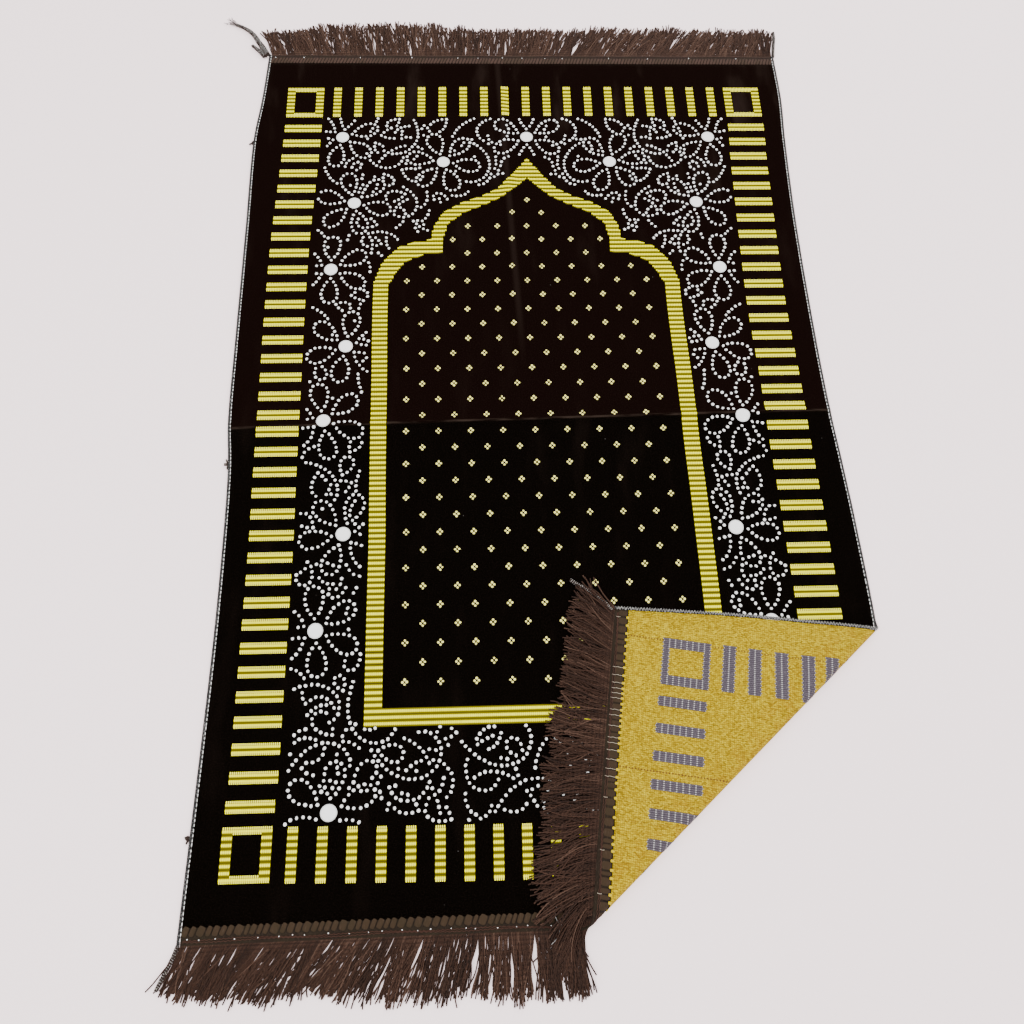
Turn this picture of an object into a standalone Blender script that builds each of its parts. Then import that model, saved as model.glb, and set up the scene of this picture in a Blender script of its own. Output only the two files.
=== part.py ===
"""Prayer rug, lying pile side up on a floor with its near right corner folded over.

Metres, +Z up. X runs across the rug, Y along it towards the head end.
Every piece is cut flat first, in flat coordinates: across, along, and up from the
back of the cloth. lay() then carries each point to where it lies on the floor.
"""
import math
import random

import bmesh
import bpy
from mathutils import Vector

# The woven cloth: pile on top, flat weave underneath
CLOTH_THICKNESS = 0.0030
HALF_LENGTH = 0.5414
PIECE_GAP = 0.0004

# Facets of the cloth: columns across, and rows to each side of the middle
COLUMNS = 8
ROW_PITCH = 0.058
INNER_ROWS = 8
PAST_THE_ENDS = 0.560
CUT_TOLERANCE = 0.00001

# Outer edge of the rug, side edges: (along, left, right)
SIDE_EDGES = (
    (-0.545, -0.3525, 0.3400),
    (-0.400, -0.3484, 0.3515),
    (-0.264, -0.3453, 0.3555),
    (-0.145, -0.3452, 0.3529),
    (-0.068, -0.3471, 0.3495),
    (-0.010, -0.3521, 0.3464),
    (0.090, -0.3530, 0.3440),
    (0.261, -0.3538, 0.3442),
    (0.393, -0.3547, 0.3486),
    (0.464, -0.3487, 0.3528),
    (0.545, -0.3444, 0.3520),
)
# Outer edge of the rug, the two ends: (across, head, foot)
END_EDGES = (
    (-0.360, 0.5423, -0.5433),
    (0.000, 0.5414, -0.5414),
    (0.360, 0.5406, -0.5480),
)

# The folded corner: the bend starts on a line from the side edge to the foot
FOLD_AT_SIDE = Vector((0.3514, -0.2567))
FOLD_AT_FOOT = Vector((0.0226, -0.5338))
BEND_RADIUS_AT_SIDE = 0.0053
BEND_RADIUS_AT_FOOT = 0.0070
BEND_STEPS = 8
FLAP_SETTLES_IN = 0.060
FLAP_EASE_STEPS = 4
LAYER_GAP = 0.0008

# Soft ridges left by the rug's packing folds: from, to, height, half_width
RIDGES = (
    (Vector((-0.36, -0.0191)), Vector((0.36, -0.0050)), 0.0022, 0.0090),
    (Vector((-0.033, 0.515)), Vector((-0.012, 0.060)), 0.0018, 0.0160),
)
RIDGE_FADES_IN = 0.060
RIDGE_CUTS = (-1.0, -0.5, 0.0, 0.5, 1.0)

# Overlocked side edges, and the thread chains that run on past the corners
SERGING_WIDTH = 0.0035
RING_STEP = 0.0012
STEPS_OVER_RIDGE = 3
STEPS_OVER_FLAP = 10
CHAIN_WIDTH = 0.0026
CHAIN_HEIGHT = 0.0020
# Section of the edge, around from the inner side: (across, up) in shares of its size
SERGING_SECTION = (
    (0.00, 0.50),
    (0.18, 0.00),
    (0.82, 0.00),
    (1.00, 0.50),
    (0.82, 1.00),
    (0.18, 1.00),
)
# Route of each loose chain on the floor or on the pile: x, y
CHAIN_LEFT_HEAD = (
    (-0.3500, 0.552),
    (-0.3600, 0.566),
    (-0.3690, 0.578),
    (-0.3835, 0.591),
    (-0.3980, 0.600),
)
CHAIN_LEFT_FOOT = ((-0.3550, -0.5545), (-0.3610, -0.5665), (-0.3665, -0.5790))
CHAIN_RIGHT_HEAD = ((0.3540, 0.556), (0.3570, 0.571), (0.3580, 0.586))
CHAIN_FLAP_CORNER = ((0.0620, -0.2270), (0.0490, -0.2160), (0.0290, -0.2040))

# Fringe: twisted locks on a woven tape that is sewn along each end
TAPE_WIDTH = 0.0158
TAPE_THICKNESS = 0.0026
LOCK_PITCH = 0.0068
LOCK_ROOT_WIDTH = 0.0036
LOCK_TIP_WIDTH = 0.0020
LOCK_TIP_HEIGHT = 0.0016
LOCK_SEGMENTS = 3
LOCK_LENGTH_SPREAD = 0.10
LOCKS_INTO_BEND = 0.006
LOCKS_CLEAR_OF_BEND = 0.004
LOCK_CLEAR_OF_ENDS = 0.006
LOOK_AHEAD = 0.001
ON_THE_EDGE = 0.0001
SEED = 7
# How the locks lie: (across, lean at root, lean at tip, length), with leans in degrees
# clockwise from straight out, as seen from above
HEAD_LOCKS = (
    (-0.345, -14.0, -26.0, 0.044),
    (-0.250, -14.0, -16.0, 0.057),
    (-0.150, -6.0, -8.0, 0.058),
    (-0.050, 2.0, 4.0, 0.052),
    (0.050, 20.0, 26.0, 0.054),
    (0.150, 30.0, 38.0, 0.057),
    (0.250, 28.0, 36.0, 0.056),
    (0.315, 14.0, 20.0, 0.050),
    (0.345, 2.0, 4.0, 0.048),
)
FOOT_LOCKS = (
    (-0.345, 22.0, 26.0, 0.046),
    (-0.270, 32.0, 40.0, 0.056),
    (-0.180, 34.0, 40.0, 0.058),
    (-0.100, 14.0, 18.0, 0.056),
    (-0.040, 0.0, 2.0, 0.056),
    (0.024, -8.0, -16.0, 0.054),
    (0.050, -50.0, -112.0, 0.068),
    (0.061, -38.0, -80.0, 0.065),
    (0.075, -33.0, -62.0, 0.061),
    (0.095, -28.0, -48.0, 0.058),
    (0.120, -20.0, -36.0, 0.056),
    (0.180, -6.0, -12.0, 0.054),
    (0.260, 8.0, 12.0, 0.053),
    (0.335, 24.0, 36.0, 0.050),
)

# Colour and roughness of each material
MATERIALS = {
    "pile_cloth": ((0.030, 0.018, 0.012), 0.90),
    "edge_thread": ((0.060, 0.055, 0.055), 0.80),
    "fringe_yarn": ((0.060, 0.035, 0.025), 0.75),
}

FOLD_DIRECTION = (FOLD_AT_FOOT - FOLD_AT_SIDE).normalized()
FOLD_NORMAL = Vector((-FOLD_DIRECTION.y, FOLD_DIRECTION.x))
FOLD_LENGTH = (FOLD_AT_FOOT - FOLD_AT_SIDE).length


def smooth_step(share):
    """Ease from 0 to 1 with no kink at either end."""
    share = min(max(share, 0.0), 1.0)
    return share * share * (3.0 - 2.0 * share)


def read_table(rows, at, column):
    """Read one column of a table as a smooth curve through its rows."""
    last = len(rows) - 1
    low = 0
    while low < last - 1 and rows[low + 1][0] < at:
        low += 1
    high = low + 1

    def slope(row):
        before = rows[max(row - 1, 0)]
        after = rows[min(row + 1, last)]
        return (after[column] - before[column]) / (after[0] - before[0])

    span = rows[high][0] - rows[low][0]
    share = min(max((at - rows[low][0]) / span, 0.0), 1.0)
    square = share * share
    cube = square * share
    return (
        (2.0 * cube - 3.0 * square + 1.0) * rows[low][column]
        + (cube - 2.0 * square + share) * span * slope(low)
        + (3.0 * square - 2.0 * cube) * rows[high][column]
        + (cube - square) * span * slope(high)
    )


def side_edge(along, column):
    """A side edge, straight from each row of facets to the next."""
    row = math.floor(abs(along) / ROW_PITCH)
    low = min(row, INNER_ROWS) * ROW_PITCH
    high = PAST_THE_ENDS if row >= INNER_ROWS else low + ROW_PITCH
    low = math.copysign(low, along)
    high = math.copysign(high, along)
    share = (along - low) / (high - low)
    at_low = read_table(SIDE_EDGES, low, column)
    return at_low + share * (read_table(SIDE_EDGES, high, column) - at_low)


def left_edge(along):
    return side_edge(along, 1)


def right_edge(along):
    return side_edge(along, 2)


def head_edge(across):
    return read_table(END_EDGES, across, 1)


def foot_edge(across):
    return read_table(END_EDGES, across, 2)


def bend_radius(along_fold):
    """The bend opens from the side edge to the foot."""
    share = along_fold / FOLD_LENGTH
    return BEND_RADIUS_AT_SIDE + share * (BEND_RADIUS_AT_FOOT - BEND_RADIUS_AT_SIDE)


def past_fold(across, along):
    """Distance past the start of the bend, the place along it, and its radius."""
    reach = Vector((across, along)) - FOLD_AT_SIDE
    along_fold = reach.dot(FOLD_DIRECTION)
    return reach.dot(FOLD_NORMAL), along_fold, bend_radius(along_fold)


def ridge_lift(across, along):
    """Height that the ridges raise the cloth off the floor."""
    lift = 0.0
    for start, end, height, half_width in RIDGES:
        run = (end - start).normalized()
        reach = Vector((across, along)) - start
        beside = abs(reach.x * run.y - reach.y * run.x)
        ahead = reach.dot(run)
        from_end = min(ahead, (end - start).length - ahead)
        crest = smooth_step(1.0 - beside / half_width)
        lift += height * crest * smooth_step(from_end / RIDGE_FADES_IN)
    return lift


def lay(across, along, up):
    """Carry a point of the flat rug to where it lies, round the fold if it is past it."""
    past, _, radius = past_fold(across, along)
    if past <= 0.0:
        return Vector((across, along, up + ridge_lift(across, along)))
    middle = 0.5 * CLOTH_THICKNESS
    turn = min(past / radius, math.pi)
    arm = radius - (up - middle)
    beyond = max(past - math.pi * radius, 0.0)
    sink = 2.0 * radius - CLOTH_THICKNESS - LAYER_GAP
    settled = sink * smooth_step(beyond / FLAP_SETTLES_IN)
    on_line = Vector((across, along)) - past * FOLD_NORMAL
    place = on_line + (arm * math.sin(turn) - beyond) * FOLD_NORMAL
    height = middle + radius - arm * math.cos(turn) - settled
    return Vector((place.x, place.y, height))


def fold_cut_lines():
    """Lines across the flat rug where its facets have to break, as two points each."""
    lines = []
    for step in range(BEND_STEPS + 1):
        turn = math.pi * step / BEND_STEPS
        lines.append((
            FOLD_AT_SIDE + turn * BEND_RADIUS_AT_SIDE * FOLD_NORMAL,
            FOLD_AT_FOOT + turn * BEND_RADIUS_AT_FOOT * FOLD_NORMAL,
        ))
    for step in range(1, FLAP_EASE_STEPS + 1):
        beyond = FLAP_SETTLES_IN * step / FLAP_EASE_STEPS
        lines.append((
            FOLD_AT_SIDE + (math.pi * BEND_RADIUS_AT_SIDE + beyond) * FOLD_NORMAL,
            FOLD_AT_FOOT + (math.pi * BEND_RADIUS_AT_FOOT + beyond) * FOLD_NORMAL,
        ))
    return lines


def cut_along(sheet, start, end, faces):
    """Break a flat sheet's facets along one straight line."""
    run = (end - start).normalized()
    geometry = list(faces)
    geometry += {edge for face in faces for edge in face.edges}
    geometry += {vert for face in faces for vert in face.verts}
    bmesh.ops.bisect_plane(
        sheet,
        geom=geometry,
        dist=CUT_TOLERANCE,
        plane_co=(start.x, start.y, 0.0),
        plane_no=(-run.y, run.x, 0.0),
    )


def flat_sheet(across_stations, along_stations, place):
    """A flat grid of facets, cut where the fold and the ridges bend it."""
    sheet = bmesh.new()
    grid = [
        [sheet.verts.new(place(across, along)) for across in across_stations]
        for along in along_stations
    ]
    for low, high in zip(grid, grid[1:]):
        for corner in range(len(low) - 1):
            sheet.faces.new((low[corner], low[corner + 1], high[corner + 1], high[corner]))
    for start, end in fold_cut_lines():
        cut_along(sheet, start, end, list(sheet.faces))
    for start, end, _, half_width in RIDGES:
        run = (end - start).normalized()
        side = Vector((-run.y, run.x))
        middle = 0.5 * (start + end)
        for share in RIDGE_CUTS:
            shift = share * half_width * side
            near = [
                face for face in sheet.faces
                if abs((face.calc_center_median().xy - middle).dot(run)) < 0.5 * (end - start).length
            ]
            cut_along(sheet, start + shift, end + shift, near)
    bmesh.ops.triangulate(sheet, faces=list(sheet.faces))
    return sheet


def finish(name, points, faces, material):
    """Make one closed, outward-facing object from its points and faces."""
    mesh = bpy.data.meshes.new(name)
    mesh.from_pydata([tuple(point) for point in points], [], faces)
    solid = bmesh.new()
    solid.from_mesh(mesh)
    bmesh.ops.recalc_face_normals(solid, faces=list(solid.faces))
    bmesh.ops.triangulate(solid, faces=list(solid.faces))
    solid.to_mesh(mesh)
    solid.free()
    mesh.materials.append(material)
    piece = bpy.data.objects.new(name, mesh)
    bpy.context.scene.collection.objects.link(piece)
    return piece


def thicken(sheet, thickness, grow_from=None):
    """Points and faces of a sheet with its thickness, laid in place.

    grow_from(edge) may return the points of a lock's rings, which then stands on that
    stretch of the edge in place of the plain wall.
    """
    sheet.verts.index_update()
    count = len(sheet.verts)
    flat = [vert.co.copy() for vert in sheet.verts]
    points = [lay(co.x, co.y, 0.0) for co in flat]
    points += [lay(co.x, co.y, thickness) for co in flat]
    faces = []
    for face in sheet.faces:
        corners = [vert.index for vert in face.verts]
        faces.append([corner + count for corner in corners])
        faces.append(corners[::-1])
    for edge in sheet.edges:
        if len(edge.link_faces) != 1:
            continue
        loop = edge.link_loops[0]
        first = loop.vert.index
        second = loop.link_loop_next.vert.index
        base = [first, second, second + count, first + count]
        rings = grow_from(flat[first], flat[second]) if grow_from else None
        if not rings:
            faces.append(base)
            continue
        for ring in rings:
            top = list(range(len(points), len(points) + len(ring)))
            points += ring
            for corner in range(4):
                following = (corner + 1) % 4
                faces.append([base[corner], base[following], top[following], top[corner]])
            base = top
        faces.append(base)
    return points, faces


def build_cloth(material):
    """The rug's one woven piece, folded over at its near right corner."""
    inset = SERGING_WIDTH + PIECE_GAP

    def across_at(share, along):
        left = left_edge(along) + inset
        right = right_edge(along) - inset
        return left + share * (right - left)

    def place(share, row):
        along = row * ROW_PITCH
        if row > INNER_ROWS:
            along = head_edge(across_at(share, HALF_LENGTH)) - TAPE_WIDTH
        if row < -INNER_ROWS:
            along = foot_edge(across_at(share, -HALF_LENGTH)) + TAPE_WIDTH
        return Vector((across_at(share, along), along, 0.0))

    shares = [column / COLUMNS for column in range(COLUMNS + 1)]
    rows = range(-INNER_ROWS - 1, INNER_ROWS + 2)
    sheet = flat_sheet(shares, rows, place)
    points, faces = thicken(sheet, CLOTH_THICKNESS)
    sheet.free()
    return finish("cloth", points, faces, material)


def turned(direction, degrees):
    """Turn a level direction clockwise as seen from above."""
    angle = math.radians(-degrees)
    return Vector((
        direction.x * math.cos(angle) - direction.y * math.sin(angle),
        direction.x * math.sin(angle) + direction.y * math.cos(angle),
    ))


def lock_rings(first, second, outward, table, chance):
    """Rings of one lock: it leaves the tape's edge, leans over and rests level."""
    middle = 0.5 * (first + second)
    place = lay(middle.x, middle.y, 0.0).xy
    ahead = (lay(middle.x, middle.y + outward * LOOK_AHEAD, 0.0).xy - place).normalized()
    wall = (lay(second.x, second.y, 0.0) - lay(first.x, first.y, 0.0)).xy
    side = math.copysign(0.5, wall.dot(Vector((ahead.y, -ahead.x))))
    on_flap = past_fold(middle.x, middle.y)[0] > LOCKS_INTO_BEND
    rest = CLOTH_THICKNESS + PIECE_GAP if on_flap else 0.0
    lean_root, lean_tip, length = (read_table(table, middle.x, column) for column in (1, 2, 3))
    length *= 1.0 + LOCK_LENGTH_SPREAD * (chance.random() - 0.5)
    rings = []
    for segment in range(LOCK_SEGMENTS):
        lean = lean_root + (lean_tip - lean_root) * segment / (LOCK_SEGMENTS - 1)
        share = (segment + 1) / LOCK_SEGMENTS
        heading = turned(ahead, lean)
        place = place + heading * (length / LOCK_SEGMENTS)
        width = LOCK_ROOT_WIDTH + (LOCK_TIP_WIDTH - LOCK_ROOT_WIDTH) * share
        height = TAPE_THICKNESS + (LOCK_TIP_HEIGHT - TAPE_THICKNESS) * share
        across = Vector((heading.y, -heading.x)) * (side * width)
        back, front = (rest + height, rest) if on_flap else (rest, rest + height)
        rings.append([
            Vector((*(place - across), back)),
            Vector((*(place + across), back)),
            Vector((*(place + across), front)),
            Vector((*(place - across), front)),
        ])
    return rings


def build_fringe(name, outward, edge_line, table, material):
    """One end's tape with its locks, as a single piece."""
    along = outward * HALF_LENGTH
    left = left_edge(along) + SERGING_WIDTH + PIECE_GAP
    right = right_edge(along) - SERGING_WIDTH - PIECE_GAP
    first_lock = math.ceil((left + LOCK_CLEAR_OF_ENDS) / LOCK_PITCH)
    last_lock = math.floor((right - LOCK_CLEAR_OF_ENDS) / LOCK_PITCH)
    roots = [lock * LOCK_PITCH for lock in range(first_lock, last_lock + 1)]
    stations = [left]
    for root in roots:
        stations += [root - 0.5 * LOCK_ROOT_WIDTH, root + 0.5 * LOCK_ROOT_WIDTH]
    stations.append(right)
    chance = random.Random(SEED + outward)

    def place(across, share):
        edge = edge_line(across)
        inner = edge - outward * (TAPE_WIDTH - PIECE_GAP)
        return Vector((across, inner + share * (edge - inner), 0.0))

    def holds_lock(first, second):
        middle = 0.5 * (first + second)
        lock = round(middle.x / LOCK_PITCH)
        if abs(middle.y - edge_line(middle.x)) > ON_THE_EDGE or not first_lock <= lock <= last_lock:
            return False
        if abs(middle.x - lock * LOCK_PITCH) > 0.5 * LOCK_ROOT_WIDTH:
            return False
        if abs(second.x - first.x) < 0.5 * LOCK_ROOT_WIDTH:
            return False
        past, _, radius = past_fold(middle.x, middle.y)
        return not LOCKS_INTO_BEND < past < math.pi * radius + LOCKS_CLEAR_OF_BEND

    def grow_from(first, second):
        if not holds_lock(first, second):
            return None
        return lock_rings(first, second, outward, table, chance)

    shares = (0.0, 1.0) if outward > 0 else (1.0, 0.0)
    sheet = flat_sheet(stations, shares, place)
    points, faces = thicken(sheet, TAPE_THICKNESS, grow_from)
    sheet.free()
    return finish(name, points, faces, material)


def edge_stations(edge_at):
    """Ring places: every row of facets, and closer over the ridge and round the fold."""
    foot = foot_edge(edge_at(-HALF_LENGTH))
    head = head_edge(edge_at(HALF_LENGTH))
    rows = [row * ROW_PITCH for row in range(-INNER_ROWS, INNER_ROWS + 1)]
    ridge_from, ridge_to, _, ridge_half_width = RIDGES[0]
    ridge_at = 0.5 * (ridge_from.y + ridge_to.y)
    closer = []
    for step in range(1, int((head - foot) / RING_STEP)):
        along = foot + step * RING_STEP
        past, _, radius = past_fold(edge_at(along), along)
        beyond = past - math.pi * radius
        if past > -RING_STEP and beyond < RING_STEP:
            closer.append(along)
        elif past > 0.0 and beyond < FLAP_SETTLES_IN and step % STEPS_OVER_FLAP == 0:
            closer.append(along)
        elif abs(along - ridge_at) < 2.0 * ridge_half_width and step % STEPS_OVER_RIDGE == 0:
            closer.append(along)
    return sorted([foot, head] + rows + closer)


def serging_ring(edge_at, outward, along):
    """One ring round the cloth's side edge."""
    inner = edge_at(along) - outward * SERGING_WIDTH
    return [
        lay(inner + outward * share * SERGING_WIDTH, along, rise * CLOTH_THICKNESS)
        for share, rise in SERGING_SECTION
    ]


def chain_rings(start_ring, route, outward, towards_foot, rest, upside_down):
    """Rings of a thread chain that runs on from the end of a serged edge."""
    start = sum(start_ring, Vector()) / len(start_ring)
    places = [start.xy] + [Vector(point) for point in route]
    rings = []
    for index in range(1, len(places)):
        before = places[index - 1]
        after = places[min(index + 1, len(places) - 1)]
        run = (after - before).normalized()
        side = Vector((run.y, -run.x)) * outward
        if towards_foot:
            side = -side
        if upside_down:
            side = -side
        ring = []
        for share, rise in SERGING_SECTION:
            level = 1.0 - rise if upside_down else rise
            spot = places[index] + side * (share - 0.5) * CHAIN_WIDTH
            ring.append(Vector((spot.x, spot.y, rest + level * CHAIN_HEIGHT)))
        rings.append(ring)
    return rings


def build_serging(name, edge_at, outward, head_route, foot_route, foot_folded, material):
    """A serged side edge with its loose chain at each end."""
    rings = [serging_ring(edge_at, outward, along) for along in edge_stations(edge_at)]
    rest = CLOTH_THICKNESS + PIECE_GAP if foot_folded else 0.0
    foot = chain_rings(rings[0], foot_route, outward, True, rest, foot_folded)
    head = chain_rings(rings[-1], head_route, outward, False, 0.0, False)
    rings = foot[::-1] + rings + head
    sides = len(SERGING_SECTION)
    points = [point for ring in rings for point in ring]
    faces = [list(range(sides))]
    faces.append(list(range(len(points) - sides, len(points)))[::-1])
    for ring in range(len(rings) - 1):
        for corner in range(sides):
            following = (corner + 1) % sides
            base = ring * sides
            faces.append([base + corner, base + following, base + sides + following, base + sides + corner])
    return finish(name, points, faces, material)


def make_material(name):
    colour, roughness = MATERIALS[name]
    material = bpy.data.materials.new(name)
    material.use_nodes = True
    shader = material.node_tree.nodes["Principled BSDF"]
    shader.inputs["Base Color"].default_value = (*colour, 1.0)
    shader.inputs["Roughness"].default_value = roughness
    shader.inputs["Metallic"].default_value = 0.0
    return material


def main():
    for item in list(bpy.data.objects):
        bpy.data.objects.remove(item, do_unlink=True)
    cloth = make_material("pile_cloth")
    thread = make_material("edge_thread")
    yarn = make_material("fringe_yarn")
    build_cloth(cloth)
    build_fringe("fringe_head", 1, head_edge, HEAD_LOCKS, yarn)
    build_fringe("fringe_foot", -1, foot_edge, FOOT_LOCKS, yarn)
    build_serging("serging_left", left_edge, -1, CHAIN_LEFT_HEAD, CHAIN_LEFT_FOOT, False, thread)
    build_serging("serging_right", right_edge, 1, CHAIN_RIGHT_HEAD, CHAIN_FLAP_CORNER, True, thread)


main()
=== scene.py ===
"""A velvet prayer rug lying pile up on a pale floor, with its near right corner folded over.

Every piece is made flat, as it comes off the loom, in flat coordinates: across, along, and
up from the back of the cloth, in metres. lay() then carries it to where the rug lies.
"""

import math
import random

import bmesh
import bpy
import numpy as np
from mathutils import Matrix, Vector


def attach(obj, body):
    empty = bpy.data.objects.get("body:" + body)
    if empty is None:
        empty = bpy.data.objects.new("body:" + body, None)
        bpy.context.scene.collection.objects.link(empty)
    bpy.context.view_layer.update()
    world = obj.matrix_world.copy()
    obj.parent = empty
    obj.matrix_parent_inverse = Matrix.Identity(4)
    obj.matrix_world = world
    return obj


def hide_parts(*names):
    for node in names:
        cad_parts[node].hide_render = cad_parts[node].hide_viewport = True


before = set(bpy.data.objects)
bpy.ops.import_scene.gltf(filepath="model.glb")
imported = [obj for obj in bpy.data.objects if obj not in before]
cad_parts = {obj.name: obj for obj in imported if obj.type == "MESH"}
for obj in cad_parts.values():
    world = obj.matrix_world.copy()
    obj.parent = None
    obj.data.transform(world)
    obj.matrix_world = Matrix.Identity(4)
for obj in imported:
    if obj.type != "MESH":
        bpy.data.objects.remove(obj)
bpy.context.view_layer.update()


# ---- The view ----------------------------------------------------------------
# The rug is seen from above its foot end, tilted a little. It lies on a plain pale
# floor under one wide soft lamp, with weaker ones from the head end and the right.
CAMERA_PLACE = (-0.0599, -0.4101, 0.8316)
CAMERA_PITCH = math.radians(70.922)
CAMERA_YAW = math.radians(5.847)
CAMERA_ROLL = math.radians(4.540)
CAMERA_LENS = 27.897
CAMERA_NEAREST = 0.01
FLOOR_COLOUR = (0.975, 0.815, 0.815, 1.0)
FLOOR_REACH = 6.0
FLOOR_DROP = 0.0008
FLOOR_GLOW = 0.95
WORLD_COLOUR = (0.97, 0.97, 1.0, 1.0)
WORLD_STRENGTH = 1.25
# Lamps: name, place, width, power
LAMPS = (
    ("lamp_over_left", (-0.90, -0.55, 1.90), 1.5, 30.0),
    ("lamp_at_head", (0.80, 1.70, 1.50), 1.2, 22.0),
    ("lamp_over_right", (1.60, -0.40, 1.40), 1.2, 12.0),
)

ahead = Vector((
    math.sin(CAMERA_YAW) * math.cos(CAMERA_PITCH),
    math.cos(CAMERA_YAW) * math.cos(CAMERA_PITCH),
    -math.sin(CAMERA_PITCH),
))
level = Vector((math.cos(CAMERA_YAW), -math.sin(CAMERA_YAW), 0.0))
upright = level.cross(ahead)
right = math.cos(CAMERA_ROLL) * level + math.sin(CAMERA_ROLL) * upright
top = math.cos(CAMERA_ROLL) * upright - math.sin(CAMERA_ROLL) * level
camera = bpy.data.objects.new("camera", bpy.data.cameras.new("camera"))
camera.data.lens = CAMERA_LENS
camera.data.clip_start = CAMERA_NEAREST
turned = Matrix((right, top, -ahead)).transposed().to_4x4()
camera.matrix_world = Matrix.Translation(CAMERA_PLACE) @ turned
bpy.context.scene.collection.objects.link(camera)
bpy.context.scene.camera = camera

for name, place, width, power in LAMPS:
    lamp = bpy.data.lights.new(name, "AREA")
    lamp.size = width
    lamp.energy = power
    holder = bpy.data.objects.new(name, lamp)
    holder.location = place
    holder.rotation_euler = (-Vector(place)).to_track_quat("-Z", "Y").to_euler()
    bpy.context.scene.collection.objects.link(holder)

world = bpy.context.scene.world or bpy.data.worlds.new("pale_room")
bpy.context.scene.world = world
world.use_nodes = True
sky = world.node_tree.nodes["Background"]
sky.inputs["Color"].default_value = WORLD_COLOUR
sky.inputs["Strength"].default_value = WORLD_STRENGTH


class Wired:
    """The value on a node's socket. Sums written with it add Math nodes to its tree."""

    def __init__(self, socket):
        self.socket = socket
        self.tree = socket.id_data

    def __add__(self, other):
        return maths("ADD", self, other)

    def __sub__(self, other):
        return maths("SUBTRACT", self, other)

    def __rsub__(self, other):
        return maths("SUBTRACT", other, self)

    def __mul__(self, other):
        return maths("MULTIPLY", self, other)

    def __truediv__(self, other):
        return maths("DIVIDE", self, other)

    def __pow__(self, other):
        return maths("POWER", self, other)

    def __abs__(self):
        return maths("ABSOLUTE", self)

    def scaled(self, factor, added):
        """The value times a factor, with something added."""
        return maths("MULTIPLY_ADD", self, factor, added)

    def back_and_forth(self, reach):
        """The value folded back at 0 and at a reach, over and over."""
        return maths("PINGPONG", self, reach)

    def ramp(self, low, high, kind="SMOOTHSTEP"):
        """The value mapped from low..high to 0..1; high may lie below low."""
        inputs = {"Value": self, "From Min": low, "From Max": high}
        return wired(self.tree, "ShaderNodeMapRange", inputs, "Result", interpolation_type=kind)


def maths(operation, *values):
    """One Math node on values, at least one of them from a node."""
    tree = next(value.tree for value in values if isinstance(value, Wired))
    return wired(tree, "ShaderNodeMath", dict(enumerate(values)), operation=operation)


def plug(tree, socket, value):
    """Fill an input with a plain value or with the value on another node's socket."""
    if isinstance(value, Wired):
        tree.links.new(value.socket, socket)
    else:
        socket.default_value = value


def wire(tree, kind, inputs=None, **settings):
    """Add a node, set its properties, and fill its inputs."""
    made = tree.nodes.new(kind)
    for name, value in settings.items():
        setattr(made, name, value)
    for key, value in (inputs or {}).items():
        plug(tree, made.inputs[key], value)
    return made


def wired(tree, kind, inputs=None, output=0, **settings):
    """Add a node and give the value on one of its outputs."""
    return Wired(wire(tree, kind, inputs, **settings).outputs[output])


def new_finish(name, roughness, shine=0.25):
    """A material with its tree and its shader."""
    material = bpy.data.materials.new(name)
    material.use_nodes = True
    shader = material.node_tree.nodes["Principled BSDF"]
    shader.inputs["Roughness"].default_value = roughness
    shader.inputs["Specular IOR Level"].default_value = shine
    return material, material.node_tree, shader


def paint(shader, colour, glow=None):
    """Give a shader its colour, plain or mixed, and let it glow a little in that colour."""
    plug(shader.id_data, shader.inputs["Base Color"], colour)
    if glow is not None:
        plug(shader.id_data, shader.inputs["Emission Color"], colour)
        shader.inputs["Emission Strength"].default_value = glow


floor_finish, _, shader = new_finish("pale_floor", 0.95, 0.1)
paint(shader, FLOOR_COLOUR, FLOOR_GLOW)
corners = [(FLOOR_REACH * x, FLOOR_REACH * y, -FLOOR_DROP)
           for x, y in ((-1, -1), (1, -1), (1, 1), (-1, 1))]
floor_mesh = bpy.data.meshes.new("floor")
floor_mesh.from_pydata(corners, [], [(0, 1, 2, 3)])
floor_mesh.materials.append(floor_finish)
floor = bpy.data.objects.new("floor", floor_mesh)
bpy.context.scene.collection.objects.link(floor)


# ---- The cloth ---------------------------------------------------------------
# One piece of jacquard velvet: black-brown cut pile above and a flat golden weave below.
# It is cut straight across at both ends. Two soft ridges are left from the packing folds,
# and the near right corner is folded over, so that the back shows there.
CLOTH_THICKNESS = 0.0030
CLOTH_MIDDLE = 0.5 * CLOTH_THICKNESS
ROUGH_WIDTH = 0.70
HALF_LENGTH = 0.5414
TAPE_WIDTH = 0.0158
SERGING_WIDTH = 0.0035
PIECE_GAP = 0.0004
# Side edges of the flat rug: (along, left, right)
SIDE_EDGES = (
    (-0.545, -0.3525, 0.3400), (-0.400, -0.3484, 0.3515), (-0.264, -0.3453, 0.3555),
    (-0.145, -0.3452, 0.3529), (-0.068, -0.3471, 0.3495), (-0.010, -0.3521, 0.3464),
    (0.090, -0.3530, 0.3440), (0.261, -0.3538, 0.3442), (0.393, -0.3547, 0.3486),
    (0.464, -0.3487, 0.3528), (0.545, -0.3444, 0.3520),
)
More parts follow.
